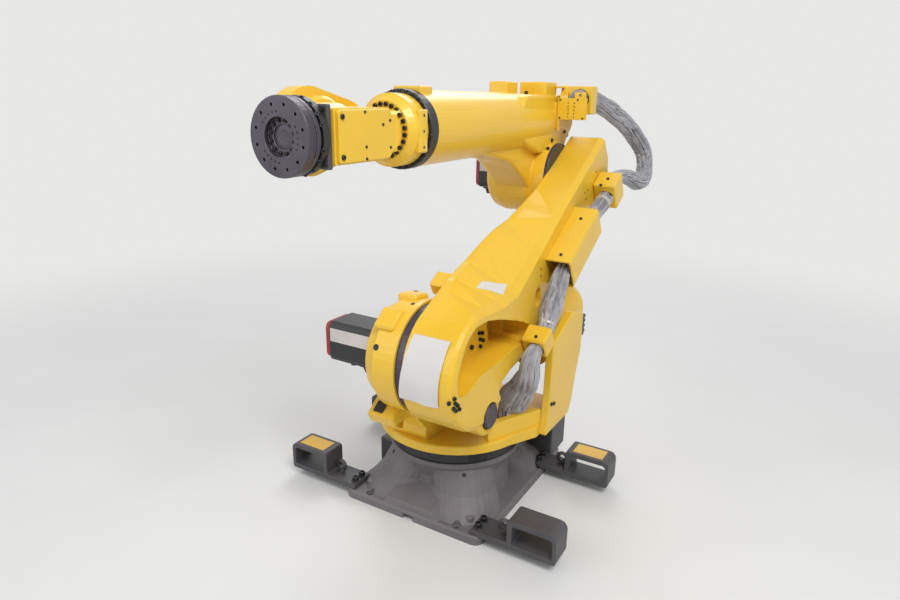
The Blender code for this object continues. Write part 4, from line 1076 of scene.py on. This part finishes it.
@dataclass
class LowerArm:
    """The leaning arm with its pocket, clamps and labels."""

    nodes: Mapping[str, bpy.types.Object]
    pocket_wall: float = 0.2895
    sheet_radius: float = 0.212
    sheet_turns: tuple[float, float] = (-18.3, 42.0)
    pocket_circles: Sequence[Point] = ((0.165, 0.0), (0.185, 4.5))
    cluster: Sequence[Point] = (
        (0.071, -0.197), (0.060, -0.186), (0.049, -0.199), (0.036, -0.196), (0.027, -0.182), (0.046, -0.183),
        (0.079, -0.182),
    )
    face_screws: Sequence[Point] = ((-0.173, 0.422), (-0.179, 0.450), (-0.178, 0.389))
    face_holes: Sequence[Point] = (
        (0.007, 0.495), (-0.019, 0.484), (-0.002, 0.977), (-0.035, 0.979), (0.003, 1.117), (-0.012, 1.011),
    )
    label: Sequence[Point] = (
        (0.160, 0.192, 0.209), (0.153, 0.194, 0.252), (0.094, 0.250, 0.312), (0.103, 0.264, 0.250),
    )

    def build(self) -> None:
        """Dress the lower arm."""
        self.arm = Surface(self.nodes["lower_arm_casting"], ARM)
        self.pocket_screws()
        self.outer_screws()
        self.clamp_screws()
        self.paper_sheet()
        self.plain_label()
        self.pin_cap()

    def pocket_screws(self) -> None:
        """The two arcs of screws in the pocket, the single one and the cluster below."""
        screws = Form(ARM)
        for radius, shift in self.pocket_circles:
            for k in range(6):
                turn = math.radians(98.0 + 9.5 * k + shift)
                at, out = self.arm.under((radius * math.cos(turn), 0.50, radius * math.sin(turn)), -Y_AXIS)
                if at.y < self.pocket_wall:
                    screws.screw(at, out, 0.0075, 0.008)
        for t, s, size in [(-0.027, 0.099, 0.009), *((t, s, 0.007) for t, s in self.cluster)]:
            screws.seat(self.arm, (t, 0.50, s), -Y_AXIS, size, size)
        screws.piece("pocket_screws", OXIDE, Body.LOWER_ARM)

    def outer_screws(self) -> None:
        """Screws and small threaded holes on the arm's outer face."""
        screws = Form(ARM)
        for t, s in self.face_screws:
            screws.seat(self.arm, (t, 0.50, s), -Y_AXIS, 0.0060, 0.004)
        for t, s in self.face_holes:
            at, out = self.arm.under((t, 0.50, s), -Y_AXIS)
            # These black discs are painted shade for the threaded holes.
            screws.dimple(at, out, 0.0048)
        screws.piece("arm_screws", OXIDE, Body.LOWER_ARM)

    def clamp_screws(self) -> None:
        """Screws of both clamps and of the cable guard."""
        screws = Form(ARM)
        places = {
            "lower_clamp": ((0.344, 0.267),),
            "cable_guard": ((0.340, 0.574), (0.341, 0.790)),
            "top_clamp": ((0.344, 1.106), (0.327, 1.064)),
        }
        for name, seats in places.items():
            holder = Surface(self.nodes[name], ARM)
            for y, s in seats:
                screws.seat(holder, (0.30, y, s), -X_AXIS, 0.006, 0.005)
        screws.piece("clamp_screws", OXIDE, Body.LOWER_ARM)

    def paper_sheet(self) -> None:
        """The plain sheet of paper taped round the arm's foot, lifting a little at its edges."""
        rows, columns = 26, 16
        low, high = self.sheet_turns
        layers = []
        for thick in (0.0, 0.0005):
            layer = []
            for i in range(rows + 1):
                v = i / rows
                turn = math.radians(low + (high - low) * v)
                near, far = 0.088 + 0.029 * v, 0.236 + 0.015 * v
                for j in range(columns + 1):
                    u = j / columns
                    edge = max(abs(2.0 * u - 1.0), abs(2.0 * v - 1.0)) ** 6
                    wave = noise.noise(Vector((u * 2.2, v * 3.1, 4.0)))
                    lifted = 0.0035 * edge * (0.5 + wave) + 0.0012 * (1.0 + wave)
                    radius = self.sheet_radius + 0.0008 + thick + lifted
                    x, z = 0.312 + radius * math.cos(turn), 0.670 + radius * math.sin(turn)
                    layer.append((x, near + (far - near) * u, z))
            layers.append(layer)
        sheet = Form()
        sheet.sheet(layers, rows, columns)
        sheet.piece("paper_sheet", PAPER, Body.LOWER_ARM, 60.0)

    def plain_label(self) -> None:
        """The plain white label on the arm's slanted front."""
        label = Form(ARM)
        label.patch(self.arm, self.label, (-0.825, -0.55, -0.13), 0.0007, 6)
        label.piece("plain_label", PAPER, Body.LOWER_ARM, 60.0)

    def pin_cap(self) -> None:
        """The dished cap of the balancer's pin."""
        pin = Surface(self.nodes["balancer_pin"], ARM)
        at, out = pin.under((-0.190, 0.50, -0.050), -Y_AXIS)
        cap = Form(ARM)
        profile = [
            (-0.001, 0.041), (0.0012, 0.041), (0.0016, 0.039), (0.0006, 0.036), (0.0004, 0.010), (0.001, 0.0),
        ]
        cap.turned(at, out, profile, 40)
        cap.piece("pin_cap", GUNMETAL, Body.LOWER_ARM)


@dataclass
class UpperArm:
    """Forearm tube, elbow, bracket and wrist motors."""

    nodes: Mapping[str, bpy.types.Object]
    ring_radius: float = 0.1152
    ring_face: float = 1.000
    ring_count: int = 30
    tube_height: float = 0.225
    bracket_screws: Sequence[Point] = ((0.130, 0.315), (0.207, 0.316), (0.132, 0.243), (0.232, 0.243))

    def build(self) -> None:
        """Dress the upper arm."""
        self.arm = Surface(self.nodes["upper_arm_casting"], ELBOW)
        self.ring_screws()
        self.elbow_screws()
        self.top_fittings()
        self.bracket_fittings()
        self.motors()

    def motors(self) -> None:
        """Dress the elbow's motor and the three that drive the wrist."""
        middle = ELBOW.translation
        elbow = Matrix(((1, 0, 0, middle.x), (0, 0, -1, 0), (0, 1, 0, middle.z), (0, 0, 0, 1)))
        Servo("elbow_motor", Body.UPPER_ARM, elbow, 0.070, 0.1403, 0.2193, 0.2356).build()
        for name, y, z in (("left", 0.044, 0.266), ("right", -0.044, 0.266), ("lower", 0.0, 0.182)):
            at = ELBOW @ Vector((0.0, y, z))
            back = Matrix(((0, 0, -1, at.x), (-1, 0, 0, at.y), (0, 1, 0, at.z), (0, 0, 0, 1)))
            plate, plugs = (-1.0 if y >= 0.0 else 1.0), (1.0 if y else -1.0)
            title = "wrist_motor_" + name
            Servo(title, Body.UPPER_ARM, back, 0.038, 0.1963, 0.330, 0.344, True, plate, plugs).build()

    def ring_screws(self) -> None:
        """The circle of socket screws on the dark ring in front of the tube."""
        screws = Form(ELBOW)
        for k in range(self.ring_count):
            turn = 2.0 * math.pi * (k + 0.5) / self.ring_count
            spoke = Vector((0.0, math.cos(turn), math.sin(turn))) * self.ring_radius
            spot = spoke + Vector((self.ring_face - 0.0003, 0.0, self.tube_height))
            screws.screw(spot, X_AXIS, 0.0056, 0.0046)
        screws.piece("roll_ring_screws", OXIDE, Body.UPPER_ARM)

    def elbow_screws(self) -> None:
        """Screws and plugs round the elbow."""
        screws = Form(ELBOW)
        seats = [
            self.arm.under((0.016, 0.40, 0.150), -Y_AXIS),
            self.arm.under((0.300, 0.112, 0.117), -X_AXIS),
            self.arm.under((-0.120, 0.40, 0.180), -Y_AXIS),
        ]
        for k in range(8):
            turn = math.radians(45.0 * k + 22.5)
            seats.append(self.arm.under((0.122 * math.cos(turn), -0.50, 0.122 * math.sin(turn)), Y_AXIS))
        for at, out in seats:
            screws.screw(at, out, 0.0078, 0.0065)
        screws.piece("elbow_screws", OXIDE, Body.UPPER_ARM)

    def top_fittings(self) -> None:
        """Threaded holes in the pads on top of the tube and the breather between them."""
        fittings = Form(ELBOW)
        spots = [(x, y) for x in (0.000, 0.050) for y in (0.020, 0.066)]
        spots += [(x, y) for x in (0.905, 0.942) for y in (-0.036, 0.036)]
        for x, y in spots:
            at, out = self.arm.under((x, y, 0.60), -Z_AXIS)
            # The black discs in the pads are painted shade for threaded holes.
            fittings.dimple(at, out, 0.0055, 0.00005)
        at, out = self.arm.under((0.125, 0.020, 0.60), -Z_AXIS)
        fittings.nut(at, out, 0.008, 0.012)
        fittings.piece("top_fittings", OXIDE, Body.UPPER_ARM)

    def bracket_fittings(self) -> None:
        """Screws of the perforated plate, and the stay and dark junction box behind it."""
        plate = Surface(self.nodes["rear_bracket"], ELBOW)
        screws = Form(ELBOW)
        for y, z in self.bracket_screws:
            screws.seat(plate, (0.30, y, z), -X_AXIS, 0.0038, 0.003)
        screws.piece("bracket_plate_screws", OXIDE, Body.UPPER_ARM)
        stay = Form(ELBOW)
        outline = [
            (0.002, 0.122, 0.318), (0.002, 0.158, 0.318), (-0.070, 0.128, 0.372), (-0.086, 0.098, 0.372),
        ]
        stay.slab(outline, (0.006, 0.0, 0.004))
        stay.block((-0.100, 0.088, 0.362), (-0.020, 0.128, 0.370), 0.0015)
        stay.piece("sleeve_stay", PAINT, Body.UPPER_ARM)
        box = Form(ELBOW)
        box.block((-0.172, 0.100, 0.302), (-0.098, 0.170, 0.366), 0.004)
        for z in (0.318, 0.346):
            gland = [(-0.001, 0.010), (0.012, 0.010), (0.014, 0.008), (0.022, 0.007)]
            box.turned((-0.172, 0.135, z), -X_AXIS, gland)
        box.piece("junction_box", DARK_GREY, Body.UPPER_ARM)


@dataclass
class Wrist:
    """Fork, bending housing, reducer and tool flange."""

    nodes: Mapping[str, bpy.types.Object]
    arc_radius: float = 0.077
    arc_count: int = 24
    bend_axis: float = 0.280
    neck: tuple[float, float, float] = (0.078, 0.150, 0.040)
    cover_screws: Sequence[Point] = (
        (0.029, 0.060), (0.025, -0.060), (0.026, -0.029), (-0.049, 0.026), (-0.081, 0.036), (-0.083, -0.036),
    )
    corner_screws: Sequence[Point] = ((0.121, 0.050), (0.121, -0.050))
    reducer_seat: Point = (0.1755, 0.0965)

    def build(self) -> None:
        """Dress the wrist."""
        self.fork()
        self.cover()
        self.reducer()
        self.flange()

    def fork(self) -> None:
        """Screws on the fork's stepped disc, round the bend axis and in its pad."""
        fork = Surface(self.nodes["wrist_fork"], ROLL)
        screws = Form(ROLL)
        for k in range(self.arc_count):
            turn = 2.0 * math.pi * (k + 0.5) / self.arc_count
            spot = (0.30, self.arc_radius * math.cos(turn), self.arc_radius * math.sin(turn))
            at, out = fork.under(spot, -X_AXIS)
            if 0.060 < at.x < 0.090 and out.x > 0.4:
                screws.screw(at, X_AXIS, 0.0070, 0.007)
        for k in range(16):
            turn = math.radians(22.5 * k)
            spot = (self.bend_axis + 0.106 * math.cos(turn), -0.50, 0.106 * math.sin(turn))
            screws.seat(fork, spot, Y_AXIS, 0.0060, 0.005)
        for z in (0.046, 0.0, -0.046):
            screws.dimple(*fork.under((0.028, 0.40, z), -Y_AXIS), 0.0045)
        screws.piece("fork_screws", OXIDE, Body.ROLL)
        start, end, radius = self.neck
        steps = 12
        profile = [(start + (end - start) * k / steps, radius - 0.002 * (k % 2)) for k in range(steps + 1)]
        neck = Form(ROLL)
        neck.turned((0.0, 0.0, 0.0), X_AXIS, [*profile, (end + 0.004, 0.6 * radius)], 40)
        neck.piece("ribbed_neck", PAINT, Body.ROLL)

    def cover(self) -> None:
        """Screws of the flat cover and the end plate."""
        plate = Surface(self.nodes["cover_plate"], BEND)
        screws = Form(BEND)
        for x, z in self.cover_screws:
            screws.seat(plate, (x, 0.40, z), -Y_AXIS, 0.0042, 0.0022)
        for x, z in self.corner_screws:
            screws.seat(plate, (x, 0.40, z), -Y_AXIS, 0.0070, 0.0050)
        end = Surface(self.nodes["end_plate"], BEND)
        for y in (-0.080, 0.080):
            for z in (-0.068, 0.068):
                screws.seat(end, (0.40, y, z), -X_AXIS, 0.0058, 0.004)
        screws.piece("housing_screws", OXIDE, Body.BEND)

    def reducer(self) -> None:
        """Socket screws on the shoulder of the dark ring behind the flange."""
        screws = Form(BEND)
        for k in range(20):
            if k % 5 == 0:
                continue
            turn = math.radians(18.0 * k)
            spoke = Vector((0.0, math.cos(turn), math.sin(turn)))
            at = X_AXIS * self.reducer_seat[0] + spoke * self.reducer_seat[1]
            screws.screw(at, X_AXIS + spoke, 0.0062, 0.0052)
        screws.piece("reducer_screws", OXIDE, Body.BEND)

    def flange(self) -> None:
        """Painted-shade discs for the small threaded holes, the dark screws in the recess and the centre's
        hub.
        """
        face = Surface(self.nodes["tool_flange"], BEND)
        holes = Form(BEND)
        for k in range(15):
            turn = math.radians(120.0 * (k // 5) + 13.0 * (k % 5 - 2))
            at, out = face.under((0.40, 0.062 * math.cos(turn), 0.062 * math.sin(turn)), -X_AXIS)
            # Each hole is a near-black disc just proud of the face: painted shade in place of the hole.
            holes.turned(at, X_AXIS, [(-0.001, 0.0030), (0.00004, 0.0030), (0.00005, 0.0024)], 12)
        holes.piece("flange_small_holes", SHADE, Body.FLANGE)
        screws = Form(BEND)
        for k in range(12):
            turn = math.radians(30.0 * k + 15.0)
            at, out = face.under((0.40, 0.041 * math.cos(turn), 0.041 * math.sin(turn)), -X_AXIS)
            screws.screw(at, X_AXIS, 0.0052, 0.006)
        screws.piece("flange_recess_screws", OXIDE, Body.FLANGE)
        hub = Form(BEND)
        at, out = face.under((0.40, 0.0, 0.0), -X_AXIS)
        profile = [
            (-0.0005, 0.0305), (0.0012, 0.0300), (0.0016, 0.0285), (0.0016, 0.0170), (0.0006, 0.0160),
            (0.0006, 0.0),
        ]
        hub.turned(at, X_AXIS, profile, 36)
        hub.piece("flange_hub", GUNMETAL, Body.FLANGE)


@dataclass
class Harness:
    """The three stretches of sleeve and the ties that gather them."""

    turret_route: Sequence[Point] = (
        (-0.010, 0.235, 0.3190), (-0.010, 0.235, 0.368), (-0.006, 0.242, 0.410), (0.024, 0.296, 0.490),
        (0.062, 0.336, 0.570), (0.068, 0.343, 0.620),
    )
    arm_route: Sequence[Point] = (
        (-0.150, 0.345, 0.246), (-0.150, 0.345, 0.335), (-0.088, 0.345, 0.470), (-0.048, 0.345, 0.560),
        (-0.048, 0.345, 0.700), (-0.048, 0.345, 0.860), (-0.080, 0.345, 1.040), (-0.080, 0.345, 1.159),
    )
    loop_route: Sequence[Point] = (
        (-0.310, 0.350, -0.020), (-0.480, 0.350, -0.060), (-0.640, 0.335, -0.040), (-0.690, 0.305, 0.070),
        (-0.540, 0.264, 0.190), (-0.345, 0.230, 0.268), (-0.205, 0.206, 0.308), (-0.118, 0.196, 0.318),
        (-0.004, 0.196, 0.318),
    )

    def build(self) -> None:
        """Lay the sleeve from the turret to the elbow's bracket."""
        tail = [ARM @ Vector((-0.150, 0.345, s)) for s in (0.215, 0.2440)]
        foot = Sleeve(
            "sleeve_foot", "harness_turret", [*self.turret_route, *tail],
            ((0.0, 0.044), (0.12, 0.056), (0.30, 0.061), (0.60, 0.051), (0.88, 0.036), (1.0, 0.028)),
            pleats=2.0, depth=0.24, crumple=0.05, seed=2.0,
        )
        self.lay(foot, Body.TURRET, Body.LOWER_ARM)
        along = Sleeve(
            "sleeve_arm", "harness_arm", self.arm_route,
            (
                (0.0, 0.028), (0.09, 0.034), (0.20, 0.043), (0.30, 0.038), (0.38, 0.030), (0.74, 0.030),
                (0.84, 0.033), (1.0, 0.028),
            ),
            frame=ARM, pleats=2.6, depth=0.34, crumple=0.05, seed=11.0,
        )
        self.lay(along, Body.LOWER_ARM)
        start = [ARM @ Vector((-0.080, 0.345, s)) for s in (1.1605, 1.200)]
        loop = Sleeve(
            "sleeve_loop", "harness_loop", [*start, *(ELBOW @ Vector(p) for p in self.loop_route)],
            (
                (0.0, 0.028), (0.10, 0.030), (0.20, 0.036), (0.36, 0.041), (0.70, 0.042), (0.90, 0.040),
                (1.0, 0.037),
            ),
            pleats=1.5, depth=0.26, crumple=0.11, seed=23.0,
        )
        self.lay(loop, Body.LOWER_ARM, Body.UPPER_ARM)
        self.ties()

    def lay(
        self, sleeve: Sleeve, body: Body, other: Body | None = None
    ) -> None:
        """Make one stretch and put it in its solid's place."""
        cloth = sleeve.build().piece(sleeve.name, SLEEVE, None if other else body, 70.0)
        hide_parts(sleeve.node)
        if other is not None:
            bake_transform(cloth)

    def ties(self) -> None:
        """Pale ties round the sleeve beside the clamps."""
        ties = Form(ARM)
        for t, s, slope in ((-0.137, 0.362, 0.46), (-0.072, 1.010, -0.18)):
            way = Vector((slope, 0.0, 1.0))
            at = Vector((t, 0.345, s)) - way.normalized() * 0.004
            ties.turned(at, way, [(0.0, 0.0318), (0.0008, 0.0332), (0.0082, 0.0332), (0.009, 0.0318)], 32)
        ties.piece("sleeve_ties", SILVER, Body.LOWER_ARM)


@dataclass
class Studio:
    """Floor, lamps and camera."""

    eye: Point = (2.0998, 1.2110, 1.5414)
    heading: float = math.radians(-149.330)
    dip: float = math.radians(17.408)
    roll: float = math.radians(0.865)
    focal_pixels: float = 658.87
    frame_pixels: float = 900.0
    film: float = 36.0
    floor_half: float = 60.0
    room: Colour = (0.86, 0.88, 0.90)
    room_light: float = 0.52

    def camera(self) -> None:
        """Set up the camera where the photograph was taken."""
        level = Vector((math.cos(self.heading), math.sin(self.heading), 0.0))
        ahead = level * math.cos(self.dip) - Z_AXIS * math.sin(self.dip)
        side = ahead.cross(Z_AXIS).normalized()
        top = side.cross(ahead)
        right = side * math.cos(self.roll) + top * math.sin(self.roll)
        up = top * math.cos(self.roll) - side * math.sin(self.roll)
        lens = bpy.data.cameras.new("camera")
        lens.sensor_width = self.film
        lens.sensor_fit = "HORIZONTAL"
        lens.lens = self.focal_pixels * self.film / self.frame_pixels
        lens.clip_end = 200.0
        eye = bpy.data.objects.new("camera", lens)
        bpy.context.scene.collection.objects.link(eye)
        eye.matrix_world = Matrix.Translation(self.eye) @ Matrix((right, up, -ahead)).transposed().to_4x4()
        bpy.context.scene.camera = eye

    def lamp(self, name: str, place: Point, target: Point, size: float, power: float) -> None:
        """Hang one soft square lamp.

        Args:
            name: the lamp's name.
            place: where it hangs.
            target: what it points at.
            size: the length of its side.
            power: its light in watts.
        """
        light = bpy.data.lights.new(name, "AREA")
        light.size = size
        light.energy = power
        thing = bpy.data.objects.new(name, light)
        bpy.context.scene.collection.objects.link(thing)
        thing.location = place
        thing.rotation_euler = (Vector(target) - Vector(place)).to_track_quat("-Z", "Y").to_euler()

    def sky(self) -> None:
        """A soft room for light, seen by the camera as the plain backdrop."""
        world = bpy.data.worlds.new("room")
        world.use_nodes = True
        tree = world.node_tree
        soft = tree.nodes["Background"]
        soft.inputs["Color"].default_value = (*self.room, 1.0)
        soft.inputs["Strength"].default_value = self.room_light
        plain = tree.nodes.new("ShaderNodeBackground")
        plain.inputs["Color"].default_value = (*FLOOR.backdrop, 1.0)
        path = tree.nodes.new("ShaderNodeLightPath")
        seen = path.outputs["Is Camera Ray"]
        for name in ("Is Glossy Ray", "Is Transmission Ray"):
            either = tree.nodes.new("ShaderNodeMath")
            either.operation = "MAXIMUM"
            tree.links.new(seen, either.inputs[0])
            tree.links.new(path.outputs[name], either.inputs[1])
            seen = either.outputs[0]
        both = tree.nodes.new("ShaderNodeMixShader")
        tree.links.new(seen, both.inputs[0])
        tree.links.new(soft.outputs[0], both.inputs[1])
        tree.links.new(plain.outputs[0], both.inputs[2])
        tree.links.new(both.outputs[0], tree.nodes["World Output"].inputs["Surface"])
        bpy.context.scene.world = world

    def build(self) -> None:
        """Lay the floor, hang the lamps, light the room and place the camera."""
        bpy.ops.mesh.primitive_plane_add(size=2.0 * self.floor_half)
        floor = bpy.context.active_object
        floor.name = "floor"
        FLOOR.dress(floor)
        middle = (0.0, 0.0, 0.8)
        self.lamp("key", (2.2, 2.6, 4.4), middle, 2.0, 150.0)
        self.lamp("fill", (3.8, -2.4, 2.6), middle, 3.0, 42.0)
        self.lamp("back", (-3.2, -1.4, 4.0), middle, 2.6, 70.0)
        self.sky()
        bpy.context.scene.view_settings.view_transform = "Standard"
        self.camera()


def main() -> None:
    """Load the solids, dress them region by region and light them."""
    logging.basicConfig(level=logging.INFO, format="%(message)s")
    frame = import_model()
    nodes = frame["nodes"]
    slots = {row["node"]: row["material_slot"] for row in frame["record"]["subparts"]}
    for name, solid in nodes.items():
        SOLID_FINISHES[slots[name]].dress(solid)
        LOG.info("%s is finished in %s", name, slots[name])
    Studio().build()
    dressed = [kind(nodes) for kind in (Base, Turret, LowerArm, UpperArm, Wrist)]
    for part in (*dressed[:2], Balancer(), *dressed[2:], Harness()):
        part.build()
        LOG.info("%s is dressed", type(part).__name__)


if __name__ == "__main__":
    main()
